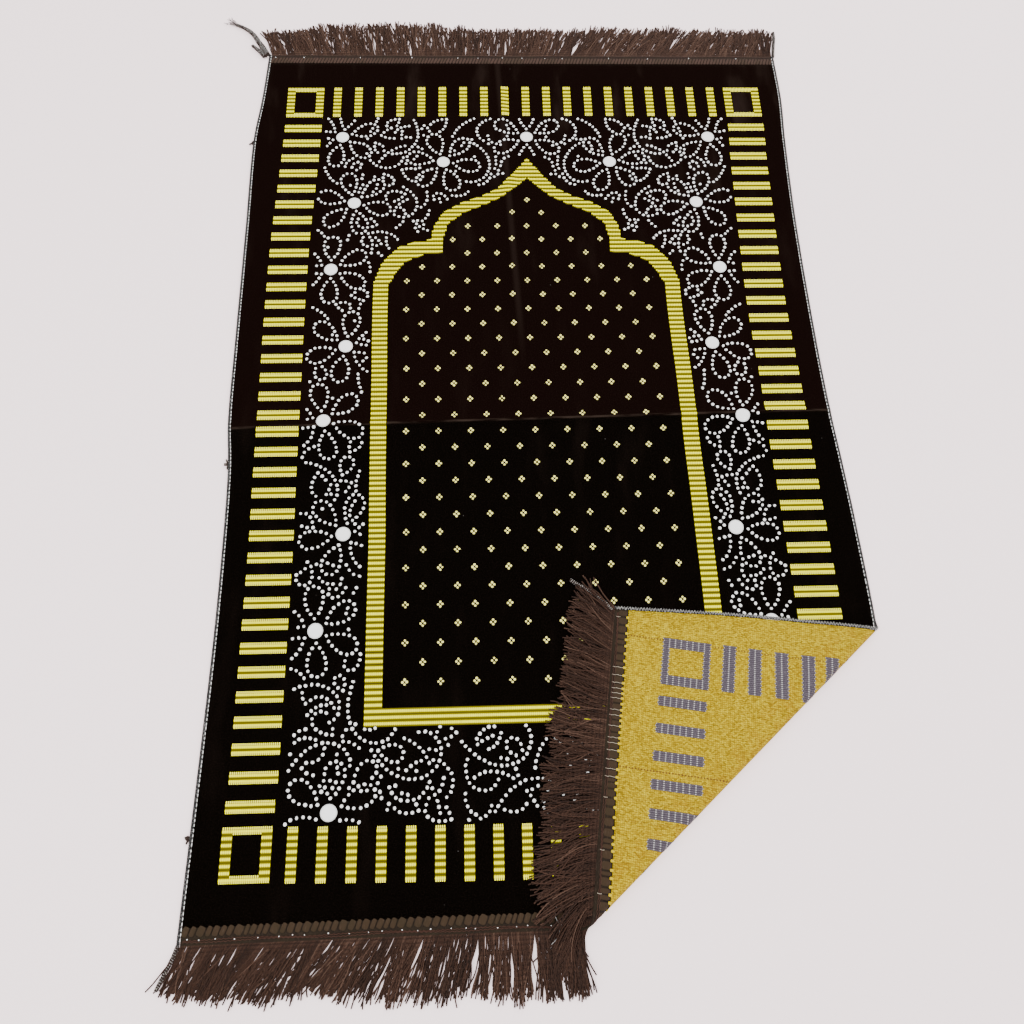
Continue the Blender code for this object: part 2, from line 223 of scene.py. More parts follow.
# Ends of the flat rug: (across, head, foot)
END_EDGES = ((-0.360, 0.5423, -0.5433), (0.000, 0.5414, -0.5414), (0.360, 0.5406, -0.5480))
FOLD_AT_SIDE = np.array((0.3514, -0.2567))
FOLD_AT_FOOT = np.array((0.0226, -0.5338))
BEND_RADIUS_AT_SIDE = 0.0053
BEND_RADIUS_AT_FOOT = 0.0070
FLAP_SETTLES_IN = 0.060
LAYER_GAP = 0.0008
FOLD_LENGTH = float(np.linalg.norm(FOLD_AT_FOOT - FOLD_AT_SIDE))
FOLD_DIRECTION = (FOLD_AT_FOOT - FOLD_AT_SIDE) / FOLD_LENGTH
FOLD_NORMAL = np.array((-FOLD_DIRECTION[1], FOLD_DIRECTION[0]))
# Ridges: from, to, height, half width
RIDGES = (
    (np.array((-0.36, -0.0191)), np.array((0.36, -0.0050)), 0.0022, 0.0090),
    (np.array((-0.033, 0.515)), np.array((-0.012, 0.060)), 0.0018, 0.0160),
)
RIDGE_FADES_IN = 0.060
CLOTH_COLUMNS = 112
CLOTH_ROWS = 170
BEND_CUTS = 14
BEND_CUT_NEAR = 0.030
RIDGE_CUTS = 10
RIDGE_CUT_NEAR = 0.012
CUT_MERGE = 0.00001
NAP_DEPTH = 0.00022
NAP_PATCH = 0.011
NAP_WAVES = 9


def smooth_step(share):
    """Ease from 0 to 1 with no kink at either end."""
    share = np.clip(share, 0.0, 1.0)
    return share * share * (3.0 - 2.0 * share)


def read_table(rows, at, column):
    """Read one column of a table as a smooth curve through its rows."""
    rows = np.asarray(rows, float)
    places = rows[:, 0]
    values = rows[:, column]
    last = len(rows) - 1
    before = np.maximum(np.arange(last + 1) - 1, 0)
    after = np.minimum(np.arange(last + 1) + 1, last)
    slopes = (values[after] - values[before]) / (places[after] - places[before])
    low = np.clip(np.searchsorted(places, at) - 1, 0, last - 1)
    span = places[low + 1] - places[low]
    share = np.clip((at - places[low]) / span, 0.0, 1.0)
    square = share ** 2
    cube = share ** 3
    return (
        (2.0 * cube - 3.0 * square + 1.0) * values[low]
        + (cube - 2.0 * square + share) * span * slopes[low]
        + (3.0 * square - 2.0 * cube) * values[low + 1]
        + (cube - square) * span * slopes[low + 1]
    )


def past_fold(flat):
    """How far flat points lie past the start of the bend, and the bend's radius there."""
    reach = np.asarray(flat, float) - FOLD_AT_SIDE
    along_fold = reach @ FOLD_DIRECTION / FOLD_LENGTH
    radius = BEND_RADIUS_AT_SIDE + along_fold * (BEND_RADIUS_AT_FOOT - BEND_RADIUS_AT_SIDE)
    return reach @ FOLD_NORMAL, radius


def ridge_lift(flat):
    """Height that the ridges raise the cloth off the floor."""
    lift = np.zeros(len(flat))
    for start, end, height, half_width in RIDGES:
        length = np.linalg.norm(end - start)
        run = (end - start) / length
        reach = flat - start
        beside = np.abs(reach[:, 0] * run[1] - reach[:, 1] * run[0])
        from_start = reach @ run
        from_end = np.minimum(from_start, length - from_start)
        crest = smooth_step(1.0 - beside / half_width)
        lift += height * crest * smooth_step(from_end / RIDGE_FADES_IN)
    return lift


def lay(points):
    """Carry flat points to where they lie: over the ridges, or round the fold and back."""
    points = np.asarray(points, float)
    flat = points[:, :2]
    up = points[:, 2]
    past, radius = past_fold(flat)
    turn = np.clip(past / radius, 0.0, math.pi)
    arm = radius - (up - CLOTH_MIDDLE)
    beyond = np.maximum(past - math.pi * radius, 0.0)
    sink = 2.0 * radius - CLOTH_THICKNESS - LAYER_GAP
    height = CLOTH_MIDDLE + radius - arm * np.cos(turn) - sink * smooth_step(beyond / FLAP_SETTLES_IN)
    shift = arm * np.sin(turn) - beyond - past
    folded = np.column_stack((flat + shift[:, None] * FOLD_NORMAL, height))
    lying = np.column_stack((flat, up + ridge_lift(flat)))
    return np.where(past[:, None] > 0.0, folded, lying)


def raised(flat, up):
    """Flat places as points at a height above the back of the cloth, or each at its own."""
    return np.column_stack((flat, np.broadcast_to(up, len(flat))))


def tint(colour, share, other):
    """Mix a colour with another one by a share."""
    inputs = {"Factor": share, 6: colour, 7: other}
    return wired(share.tree, "ShaderNodeMix", inputs, 2, data_type="RGBA")


def speckle(place, scale, detail=2.0, stretch=(1.0, 1.0, 1.0)):
    """A noise value at a place, with its grain stretched."""
    mapped = wired(place.tree, "ShaderNodeMapping", {"Vector": place, "Scale": stretch})
    inputs = {"Vector": mapped, "Scale": scale, "Detail": detail}
    return wired(place.tree, "ShaderNodeTexNoise", inputs, "Fac")


def relief(shader, height, depth, strength=1.0):
    """Let a height value dent the surface, with its full depth in metres."""
    inputs = {"Height": height, "Distance": depth, "Strength": strength}
    plug(height.tree, shader.inputs["Normal"], wired(height.tree, "ShaderNodeBump", inputs))


def split(tree, vector):
    """The first two parts of a vector value."""
    parts = wire(tree, "ShaderNodeSeparateXYZ", {0: vector})
    return Wired(parts.outputs[0]), Wired(parts.outputs[1])


PILE_BELOW_RIDGE = (0.0010, 0.0007, 0.0004, 1.0)
PILE_ABOVE_RIDGE_SHEEN = (0.0038, 0.0013, 0.0009, 1.0)
PILE_NAP_SHEEN = (0.0220, 0.0140, 0.0110, 1.0)
PILE_CREASE_HIGHLIGHT = (0.0400, 0.0270, 0.0200, 1.0)
PILE_LINT = (0.1500, 0.1400, 0.1300, 1.0)
PILE_DEPTH = 0.0006
SHEEN_TINT = (0.85, 0.62, 0.50, 1.0)
# Lines of the ridges on the pile: along = middle + slope * across, and the other way round
RIDGE_MIDDLE = -0.01205
RIDGE_SLOPE = 0.0196
UPPER_RIDGE_MIDDLE = -0.0092
UPPER_RIDGE_SLOPE = -0.0462

pile_finish, tree, shader = new_finish("velvet_pile", 0.92, 0.0)
shader.inputs["Sheen Weight"].default_value = 0.010
shader.inputs["Sheen Roughness"].default_value = 0.45
shader.inputs["Sheen Tint"].default_value = SHEEN_TINT
flat_map = wired(tree, "ShaderNodeUVMap", uv_map="flat")
across, along = split(tree, flat_map)
from_ridge = along - across.scaled(RIDGE_SLOPE, RIDGE_MIDDLE)
# Above the lower ridge the pile is painted a lighter brown: painted sheen of the nap, which catches the
# light there
colour = tint(PILE_BELOW_RIDGE, from_ridge.ramp(-0.003, 0.002), PILE_ABOVE_RIDGE_SHEEN)
# Brushed patches, most of them near the head, and fine specks over the whole pile, in a lighter brown:
# painted sheen of the nap
brushed = speckle(flat_map, 9.0, 4.0, (3.2, 0.8, 1.0))
near_head = along.ramp(0.10, 0.50)
colour = tint(colour, brushed.ramp(0.52, 0.80) * near_head.scaled(0.5, 0.12), PILE_NAP_SHEEN)
# Along the crest of the lower ridge a lighter line, broken into streaks: painted highlight
crease_highlight_streaks = speckle(flat_map, 60.0, 3.0, (0.5, 4.0, 1.0)).ramp(0.35, 0.70)
colour = tint(colour, abs(from_ridge).ramp(0.0022, 0.0004) * crease_highlight_streaks * 0.75, PILE_CREASE_HIGHLIGHT)
# A lighter line along the upper ridge: painted sheen where the pile rises over it
from_upper = abs(across - along.scaled(UPPER_RIDGE_SLOPE, UPPER_RIDGE_MIDDLE))
upper_ridge_sheen = from_upper.ramp(0.0060, 0.0005) * along.ramp(0.04, 0.16)
colour = tint(colour, upper_ridge_sheen * 0.35, PILE_NAP_SHEEN)
lint = wired(tree, "ShaderNodeTexVoronoi", {"Vector": flat_map, "Scale": 55.0}, "Distance")
lint_shows = lint.ramp(0.030, 0.018) * speckle(flat_map, 31.0, 0.0).ramp(0.60, 0.62)
colour = tint(colour, lint_shows * 0.6, PILE_LINT)
tufts = speckle(flat_map, 1100.0)
paint(shader, tint(colour, tufts.ramp(0.45, 0.75) * 0.35, PILE_NAP_SHEEN))
relief(shader, brushed.scaled(0.6, tufts), PILE_DEPTH, 0.8)

BACK_GOLD = (0.440, 0.290, 0.0005, 1.0)
BACK_LIGHT = (0.780, 0.600, 0.010, 1.0)
BACK_DARK_FLECK_AND_SHADE = (0.170, 0.098, 0.0005, 1.0)
BACK_FOLD_SHADE = (0.270, 0.090, 0.010, 1.0)
BACK_THREAD = (0.100, 0.030, 0.020, 1.0)
BACK_DEPTH = 0.00035
FOLD_SHADE_MIDDLE = 0.014
COLUMN_PITCH = 0.0020
RIB_PITCH = 0.006143
# Brown threads that run along the back: places across it, and how strongly each one shows
BACK_THREAD_ROWS = ((0.3110, 0.75), (0.1800, 0.80), (0.1310, 0.35), (0.1510, 0.30), (0.0460, 0.35))

back_finish, tree, shader = new_finish("golden_back", 0.75, 0.10)
flat_map = wired(tree, "ShaderNodeUVMap", uv_map="flat")
across, along = split(tree, flat_map)
yarn_across = across / (0.5 * COLUMN_PITCH)
yarn_along = along / (RIB_PITCH / 3.0)
column = maths("FLOOR", yarn_across)
row = maths("FLOOR", column.scaled(0.5, yarn_along))
cell = wired(tree, "ShaderNodeCombineXYZ", {0: column, 1: row})
fleck = wired(tree, "ShaderNodeTexWhiteNoise", {"Vector": cell}, "Value", noise_dimensions="2D")
round_across = yarn_across.back_and_forth(1.0)
round_along = yarn_along.back_and_forth(0.5)
# Dark flecks are the yarn's own colour; the gaps between the yarns are painted darker in the same colour:
# painted shade
yarn_gap_shade = maths("MAXIMUM", round_along.ramp(0.20, 0.02), round_across.ramp(0.45, 0.05))
colour = tint(BACK_GOLD, fleck.ramp(0.45, 1.0, "LINEAR") * 0.75, BACK_LIGHT)
colour = tint(colour, fleck.ramp(0.35, 0.0, "LINEAR") * 0.70, BACK_DARK_FLECK_AND_SHADE)
colour = tint(colour, speckle(flat_map, 45.0, 4.0).ramp(0.45, 0.75) * 0.08, BACK_LIGHT)
colour = tint(colour, yarn_gap_shade * 0.60, BACK_DARK_FLECK_AND_SHADE)
past = (across - FOLD_AT_SIDE[0]) * FOLD_NORMAL[0] + (along - FOLD_AT_SIDE[1]) * FOLD_NORMAL[1]
# A band along the bend, on the flap, is painted orange-brown: painted shade where the cloth curves round
# the fold
fold_shade = abs(past - FOLD_SHADE_MIDDLE).ramp(0.040, 0.004) * speckle(flat_map, 70.0, 3.0).ramp(0.35, 0.65)
colour = tint(colour, fold_shade * 0.22, BACK_FOLD_SHADE)
dash = along.back_and_forth(0.25 * RIB_PITCH)
for place, strength in BACK_THREAD_ROWS:
    shows = abs(abs(across) - place).ramp(0.0011, 0.0006) * dash.ramp(0.0006, 0.0009)
    colour = tint(colour, shows * strength, BACK_THREAD)
paint(shader, colour)
relief(shader, round_along.scaled(0.8, fleck.scaled(0.7, round_across)), BACK_DEPTH)


def cloth_edges(share, along):
    """Across place at a share of the cloth's width, between its serged sides."""
    left = read_table(SIDE_EDGES, along, 1) + SERGING_WIDTH + PIECE_GAP
    right = read_table(SIDE_EDGES, along, 2) - SERGING_WIDTH - PIECE_GAP
    return left + share * (right - left)


def cut_sheet(sheet, start, end, near):
    """Break a flat sheet's facets along the line from start to end, within a distance of it."""
    run = Vector(end - start).normalized()
    side = Vector((-run.y, run.x))
    middle = Vector(0.5 * (start + end))
    half = 0.5 * float(np.linalg.norm(end - start)) + near
    faces = []
    for face in sheet.faces:
        reach = face.calc_center_median().xy - middle
        if abs(reach.dot(side)) < near and abs(reach.dot(run)) < half:
            faces.append(face)
    parts = faces + list({edge for face in faces for edge in face.edges})
    parts += list({vert for face in faces for vert in face.verts})
    bmesh.ops.bisect_plane(
        sheet, geom=parts, dist=CUT_MERGE, plane_co=(*start, 0.0), plane_no=(*side, 0.0))


shares, lengths = np.meshgrid(
    np.linspace(0.0, 1.0, CLOTH_COLUMNS + 1), np.linspace(0.0, 1.0, CLOTH_ROWS + 1))
shares, lengths = shares.ravel(), lengths.ravel()
rough_across = (shares - 0.5) * ROUGH_WIDTH
foot_cut = read_table(END_EDGES, rough_across, 2) + TAPE_WIDTH
head_cut = read_table(END_EDGES, rough_across, 1) - TAPE_WIDTH
cloth_along = foot_cut + lengths * (head_cut - foot_cut)
cloth_across = cloth_edges(shares, cloth_along)
sheet = bmesh.new()
verts = [sheet.verts.new((x, y, 0.0)) for x, y in zip(cloth_across, cloth_along)]
for row in range(CLOTH_ROWS):
    for column in range(CLOTH_COLUMNS):
        first = row * (CLOTH_COLUMNS + 1) + column
        over = first + CLOTH_COLUMNS + 1
        sheet.faces.new([verts[corner] for corner in (first, first + 1, over + 1, over)])
for step in range(BEND_CUTS + 1):
    turn = math.pi * step / BEND_CUTS
    start = FOLD_AT_SIDE + turn * BEND_RADIUS_AT_SIDE * FOLD_NORMAL
    end = FOLD_AT_FOOT + turn * BEND_RADIUS_AT_FOOT * FOLD_NORMAL
    cut_sheet(sheet, start, end, BEND_CUT_NEAR)
for start, end, _, half_width in RIDGES:
    run = (end - start) / np.linalg.norm(end - start)
    side = np.array((-run[1], run[0]))
    for step in range(RIDGE_CUTS + 1):
        shift = (2.0 * step / RIDGE_CUTS - 1.0) * half_width * side
        cut_sheet(sheet, start + shift, end + shift, RIDGE_CUT_NEAR)
bmesh.ops.triangulate(sheet, faces=[face for face in sheet.faces if len(face.verts) > 4])
sheet.verts.index_update()
flat = np.array([vert.co.xy for vert in sheet.verts])
faces = [[vert.index for vert in face.verts] for face in sheet.faces]
rim = []
for edge in sheet.edges:
    if len(edge.link_faces) == 1:
        loop = edge.link_loops[0]
        rim.append((loop.vert.index, loop.link_loop_next.vert.index))
sheet.free()


def wavy(flat, patch, seed):
    """A smooth, uneven value from 0 to 1 at each flat point, from crossed waves."""
    chance = np.random.default_rng(seed)
    value = np.zeros(len(flat))
    for _ in range(NAP_WAVES):
        heading = chance.uniform(0.0, math.pi)
        length = patch * chance.uniform(0.7, 1.9)
        reach = flat[:, 0] * math.cos(heading) + flat[:, 1] * math.sin(heading)
        value += np.sin(reach * 2.0 * math.pi / length + chance.uniform(0.0, 2.0 * math.pi))
    return 0.5 + value / (2.0 * NAP_WAVES)


def keep_piece(name, mesh, replaced=None):
    """Put a mesh whose points are in place into the scene as a piece of the rug."""
    piece = bpy.data.objects.new(name, mesh)
    bpy.context.scene.collection.objects.link(piece)
    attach(piece, "root")
    if replaced:
        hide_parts(replaced)
    return piece


count = len(flat)
nap = CLOTH_THICKNESS - NAP_DEPTH * wavy(flat, NAP_PATCH, 3)
points = np.vstack((lay(raised(flat, nap)), lay(raised(flat, 0.0))))
cloth_faces = [list(face) for face in faces]
cloth_faces += [[corner + count for corner in face[::-1]] for face in faces]
cloth_faces += [[first + count, second + count, second, first] for first, second in rim]
cloth_mesh = bpy.data.meshes.new("velvet_cloth")
cloth_mesh.from_pydata(points.tolist(), [], cloth_faces)
cloth_mesh.materials.append(pile_finish)
cloth_mesh.materials.append(back_finish)
cloth_mesh.polygons.foreach_set("material_index", [0] * len(faces) + [1] * len(faces) + [0] * len(rim))
cloth_mesh.shade_smooth()
cloth = keep_piece("velvet_cloth", cloth_mesh, "cloth")
flat_places = np.vstack((flat, flat))[[corner for face in cloth_faces for corner in face]]
cloth_mesh.uv_layers.new(name="flat").data.foreach_set("uv", flat_places.astype(np.float32).ravel())
cloth_length = float(np.mean(head_cut - foot_cut))
rows = np.linspace(-0.52, 0.52, 50)
cloth_width = float(np.mean(cloth_edges(1.0, rows) - cloth_edges(0.0, rows)))


# ---- The gold border ---------------------------------------------------------
# Bars and corner squares woven in bright yellow yarn between the pile. Each rib is a row of
# short floats side by side, whose ends dive into the cloth and leave a groove, painted olive
# as painted shade.
BAR_PITCH = 0.028
BARS_EACH_SIDE = 9
BAR_COLUMNS = 5
END_BAR_RIBS = 8
HEAD_RIB = 72
FOOT_RIB = -80
SIDE_BAR_MIDDLE = 0.2945
SIDE_BAR_COLUMNS = 24
SIDE_BAR_RIBS = 2
SIDE_BARS = 35
SIDE_BAR_STEP = 4
FIRST_SIDE_RIB = 68
SQUARE_LINE_COLUMNS = 5
SQUARE_LINE_RIBS = 1
RIB_DATUM = -0.0025
FLOAT_WIDTH = 1.02 * COLUMN_PITCH
FLOAT_REACH = 0.0048
SIDE_BAR_REACH = 0.0042
SIDE_RIB_NEARER = 0.0004
FLOAT_HEIGHT = 0.00085
FLOAT_TUCK = 0.00035
TOOTH_WIDTH = 0.0010
TOOTH_LENGTH = 0.0024
TOOTH_HEIGHT = 0.0006
TOOTH_PAST_RIB = 0.0003
TOOTH_PAST_FOOT_RIB = -0.0005
# How far a thread or a float sinks into what it lies on, or stands off it
SEAT = 0.0001
OPEN_MARGIN = 0.004
GOLD_CREST = (0.970, 0.970, 0.004, 1.0)
GOLD_GROOVE_SHADE = (0.100, 0.084, 0.001, 1.0)
GOLD_WARM = (0.930, 0.850, 0.004, 1.0)
GOLD_SHADE = (0.560, 0.500, 0.001, 1.0)
# Glow of the gold and pale yarns: painted light, an emission in their own colour that makes them brighter
# than the lamps light them
GOLD_GLOW = 0.90
GOLD_DEPTH = 0.00025
PALE_YARN = (0.980, 0.910, 0.060, 1.0)
# Cloth taken up by the folds, which draws the weave along: (along, at left, middle, right)
TAKEN_UP = (
    (-0.500, 0.0055, -0.0010, 0.0005), (-0.447, 0.0042, 0.0020, 0.0060),
    (-0.421, -0.0063, -0.0035, -0.0053), (-0.392, -0.0043, -0.0025, -0.0033),
    (-0.368, -0.0020, -0.0010, -0.0008), (-0.344, -0.0005, -0.0010, 0.0015),
    (-0.245, 0.0000, -0.0008, -0.0015), (-0.221, -0.0012, -0.0012, -0.0012),
    (-0.024, -0.0005, -0.0003, 0.0000), (-0.001, -0.0037, -0.0020, -0.0002),
    (0.025, -0.0043, -0.0033, -0.0023), (0.049, -0.0045, -0.0038, -0.0030),
    (0.100, -0.0040, -0.0039, -0.0038), (0.250, -0.0041, -0.0040, -0.0040),
    (0.320, -0.0046, -0.0036, -0.0025), (0.442, -0.0056, -0.0030, -0.0045),
    (0.480, -0.0033, -0.0020, -0.0028),
)
# The same across: (along, at left, middle, right)
DRAWN_IN = (
    (-0.490, 0.0000, 0.0030, -0.0050), (-0.420, 0.0010, 0.0028, -0.0038),
    (-0.390, 0.0025, 0.0025, -0.0035), (-0.344, 0.0024, 0.0020, -0.0035),
    (-0.250, 0.0024, 0.0016, 0.0005), (-0.150, 0.0022, 0.0008, -0.0005),
    (-0.100, 0.0010, 0.0000, -0.0012), (-0.050, 0.0003, -0.0010, -0.0025),
    (0.000, -0.0003, -0.0014, -0.0026), (0.050, -0.0009, -0.0020, -0.0033),
    (0.095, -0.0017, -0.0032, -0.0048), (0.143, -0.0022, -0.0038, -0.0058),
    (0.220, -0.0021, -0.0030, -0.0045), (0.270, -0.0010, -0.0015, -0.0030),
    (0.315, 0.0008, 0.0005, -0.0016), (0.363, 0.0025, 0.0018, -0.0002),
    (0.412, 0.0038, 0.0030, 0.0028), (0.480, 0.0045, 0.0036, 0.0032),
)


def new_tree(name, *labels):
    """A Geometry Nodes tree with named inputs: numbers, and the finish of what it makes."""
    tree = bpy.data.node_groups.new(name, "GeometryNodeTree")
    tree.interface.new_socket("Geometry", in_out="INPUT", socket_type="NodeSocketGeometry")
    for label in (*labels, "Finish"):
        kind = {"Finish": "Material", "Sides": "Int"}.get(label, "Float")
        tree.interface.new_socket(label, in_out="INPUT", socket_type="NodeSocket" + kind)
    tree.interface.new_socket("Geometry", in_out="OUTPUT", socket_type="NodeSocketGeometry")
    given = tree.nodes.new("NodeGroupInput").outputs
    return tree, {label: Wired(given[label]) for label in ("Geometry", *labels, "Finish")}


def grid(tree, size_x, size_y, verts_x, verts_y):
    """A flat grid of facets."""
    inputs = {"Size X": size_x, "Size Y": size_y, "Vertices X": verts_x, "Vertices Y": verts_y}
    return wired(tree, "GeometryNodeMeshGrid", inputs)


def xyz(tree, x=0.0, y=0.0, z=0.0):
    """A vector of three values."""
    return wired(tree, "ShaderNodeCombineXYZ", {0: x, 1: y, 2: z})


def own_place(tree):
    """Place of each point of a shape, across and along it."""
    return split(tree, wired(tree, "GeometryNodeInputPosition"))


def noted(tree, name):
    """A number that every point brings with it."""
    return wired(tree, "GeometryNodeInputNamedAttribute", {"Name": name}, data_type="FLOAT")


def note(shape, name, value):
    """Keep a number on every point of a shape, for its finish."""
    inputs = {"Geometry": shape, "Name": name, "Value": value}
    return wired(shape.tree, "GeometryNodeStoreNamedAttribute", inputs, data_type="FLOAT")


def shift(shape, x, z):
    """Move each point of a shape across and up."""
    inputs = {"Geometry": shape, "Offset": xyz(shape.tree, x, 0.0, z)}
    return wired(shape.tree, "GeometryNodeSetPosition", inputs)


def dress(given, shape, smooth=False):
    """Give a shape its finish, and let the tree end in it."""
    tree = shape.tree
    if smooth:
        inputs = {"Geometry": shape, "Shade Smooth": True}
        shape = wired(tree, "GeometryNodeSetShadeSmooth", inputs)
    dressed = wired(tree, "GeometryNodeSetMaterial", {"Geometry": shape, "Material": given["Finish"]})
    plug(tree, tree.nodes.new("NodeGroupOutput").inputs[0], dressed)
    return tree


def spread(given, shape, scale, turned=None, smooth=False):
    """Set a shape on every given point, as real facets, and dress it."""
    tree = shape.tree
    inputs = {"Points": given["Geometry"], "Instance": shape, "Scale": scale}
    if turned is not None:
        inputs["Rotation"] = turned
    put = wired(tree, "GeometryNodeInstanceOnPoints", inputs)
    return dress(given, wired(tree, "GeometryNodeRealizeInstances", {0: put}), smooth)


def weave(tree, points, values, attributes=None, edges=()):
    """Run a tree on flat points and give the plain flat mesh that it makes."""
    seed_mesh = bpy.data.meshes.new("seed")
    seed_mesh.from_pydata([tuple(point) for point in points], list(edges), [])
    for name, numbers in (attributes or {}).items():
        held = seed_mesh.attributes.new(name, "FLOAT", "POINT")
        held.data.foreach_set("value", np.asarray(numbers, np.float32))
    seed = bpy.data.objects.new("seed", seed_mesh)
    bpy.context.scene.collection.objects.link(seed)
    modifier = seed.modifiers.new("weave", "NODES")
    modifier.node_group = tree
    for item in tree.interface.items_tree:
        if item.in_out == "INPUT" and item.name in values:
            modifier[item.identifier] = values[item.name]
    mesh = bpy.data.meshes.new_from_object(seed.evaluated_get(bpy.context.evaluated_depsgraph_get()))
    bpy.data.objects.remove(seed)
    bpy.data.meshes.remove(seed_mesh)
    return mesh


def lay_mesh(mesh):
    """Carry a flat mesh to where the rug lies."""
    flat = np.zeros(len(mesh.vertices) * 3)
    mesh.vertices.foreach_get("co", flat)
    mesh.vertices.foreach_set("co", lay(flat.reshape(-1, 3)).ravel())
    mesh.update()
    return mesh


def lies_open(flat):
    """Which flat points lie on the unfolded part of the pile."""
    return past_fold(flat)[0] < -OPEN_MARGIN


def float_tree():
    """Ribs: a low rounded float on every point, with a strip under it that the finish paints in olive
    shade.
    """
    tree, given = new_tree("rib_floats", "Float width", "Float height", "Tuck")
    x, y = own_place(tree)
    from_side = abs(x) * 2.0
    from_end = (abs(y) * 2.0) ** 2.5
    crest = (1.0 - from_side ** 4.0 * 0.35) * (1.0 - from_end)
    rise = crest * (given["Float height"] + given["Tuck"]) - given["Tuck"]
    pad = shift(note(grid(tree, 1.0, 1.0, 4, 5), "crest", crest), x * from_end * -0.20, rise)
    both = wire(tree, "GeometryNodeJoinGeometry")
    plug(tree, both.inputs[0], pad)
    plug(tree, both.inputs[0], grid(tree, 1.02, 1.20, 2, 2))
    scale = xyz(tree, given["Float width"], noted(tree, "reach"), 1.0)
    return spread(given, Wired(both.outputs[0]), scale)


def tooth_tree():
    """Tie ends at the edge of a block: a thin raised thread on every point."""
    tree, given = new_tree("tie_ends", "Tooth width", "Tooth length", "Tooth height")
    from_middle = own_place(tree)[1] * 2.0
    thread = shift(grid(tree, 1.0, 1.0, 2, 4), 0.0, 1.0 - from_middle * from_middle)
    scale = xyz(tree, given["Tooth width"], given["Tooth length"], given["Tooth height"])
    return spread(given, thread, scale)


def rib_at(number):
    """Where a rib of the loom's weft lies along the rug, before the folds draw it along."""
    return RIB_DATUM + number * RIB_PITCH


def drawn(flat, table):
    """How far the weave is drawn at flat places, read from a table of its left, middle and right."""
    share = np.clip(flat[:, 0] / SIDE_BAR_MIDDLE, -1.1, 1.1)
    left, middle, right = (read_table(table, flat[:, 1], column) for column in (1, 2, 3))
    return middle + 0.5 * (right - left) * share + (0.5 * (left + right) - middle) * share ** 2


def rib_block(middle, columns, first_rib, ribs, hollow=None):
    """Floats of a block of ribs: across, along, whether at its head or foot edge, odd or even."""
    block_middle = np.array(((middle, rib_at(first_rib + 0.5 * (ribs - 1))),))
    shift_across = float(drawn(block_middle, DRAWN_IN)[0])
    shift_along = float(drawn(block_middle, TAKEN_UP)[0])
    floats = []
    for rib in range(ribs):
        for column in range(columns):
            if hollow and hollow(column, rib):
                continue
            across = middle + (column - 0.5 * (columns - 1)) * COLUMN_PITCH + shift_across
            along = rib_at(first_rib + rib) + shift_along
            at_head = bool(rib == ribs - 1 or (hollow and hollow(column, rib + 1)))
            at_foot = bool(rib == 0 or (hollow and hollow(column, rib - 1)))
            floats.append((across, along, at_head, at_foot, column % 2))
    return floats


def inside_square(column, rib):
    """The open middle of a corner square."""
    in_columns = SQUARE_LINE_COLUMNS <= column < SIDE_BAR_COLUMNS - SQUARE_LINE_COLUMNS
    return in_columns and SQUARE_LINE_RIBS <= rib < END_BAR_RIBS - SQUARE_LINE_RIBS


border_floats = []
for first_rib in (HEAD_RIB, FOOT_RIB):
    for bar in range(-BARS_EACH_SIDE, BARS_EACH_SIDE + 1):
        border_floats += rib_block(bar * BAR_PITCH, BAR_COLUMNS, first_rib, END_BAR_RIBS)
    for middle in (-SIDE_BAR_MIDDLE, SIDE_BAR_MIDDLE):
        border_floats += rib_block(middle, SIDE_BAR_COLUMNS, first_rib, END_BAR_RIBS, inside_square)
end_floats = len(border_floats)
for bar in range(SIDE_BARS):
    first_rib = FIRST_SIDE_RIB - bar * SIDE_BAR_STEP
    for middle in (-SIDE_BAR_MIDDLE, SIDE_BAR_MIDDLE):
        border_floats += rib_block(middle, SIDE_BAR_COLUMNS, first_rib, SIDE_BAR_RIBS)
border_floats = np.array(border_floats, float)
border_places = border_floats[:, :2]
head_edge = border_floats[:, 2] > 0.0
foot_edge = border_floats[:, 3] > 0.0
odd_column = border_floats[:, 4]


def held(tree, name):
    """A number that the yarn's points bring to its finish."""
    return wired(tree, "ShaderNodeAttribute", output="Fac", attribute_name=name)


def yarn_fluff(tree, scale, detail=2.0, stretch=(1.0, 1.0, 1.0)):
    """The fibres of a yarn, as a fine noise over the piece."""
    return speckle(wired(tree, "ShaderNodeTexCoord", output="Object"), scale, detail, stretch)


gold_finish, tree, shader = new_finish("gold_ribs", 0.60, 0.04)
crest = held(tree, "crest")
fibres = yarn_fluff(tree, 1500.0, 2.0, (1.0, 0.12, 1.0))
warmth = yarn_fluff(tree, 22.0, 3.0).ramp(0.40, 0.75)
colour = tint(tint(GOLD_CREST, warmth, GOLD_WARM), warmth * 0.75, GOLD_CREST)
# The flanks and ends of each float, and the strip under it, are painted darker: painted shade in the
# grooves between the ribs. The hollows between fibres get the same shade
colour = tint(colour, crest.ramp(0.96, 0.72), GOLD_SHADE)
colour = tint(colour, crest.ramp(0.76, 0.34), GOLD_GROOVE_SHADE)
paint(shader, tint(colour, fibres.ramp(0.5, 0.3) * 0.25, GOLD_GROOVE_SHADE), GOLD_GLOW)
relief(shader, fibres, GOLD_DEPTH)

tooth_finish, _, shader = new_finish("pale_teeth", 0.60)
paint(shader, PALE_YARN, GOLD_GLOW)

rib_tree = float_tree()
rib_values = {"Float width": FLOAT_WIDTH, "Float height": FLOAT_HEIGHT, "Tuck": FLOAT_TUCK,
              "Finish": gold_finish}


def lay_ribs(name, floats, reach):
    """Weave floats of the given reach on the pile, lay them, and keep them as a piece."""
    shown = lies_open(floats)
    on_pile = raised(floats[shown], CLOTH_THICKNESS + SEAT)
    mesh = weave(rib_tree, on_pile, rib_values, {"reach": reach[shown]})
    keep_piece(name, lay_mesh(mesh))


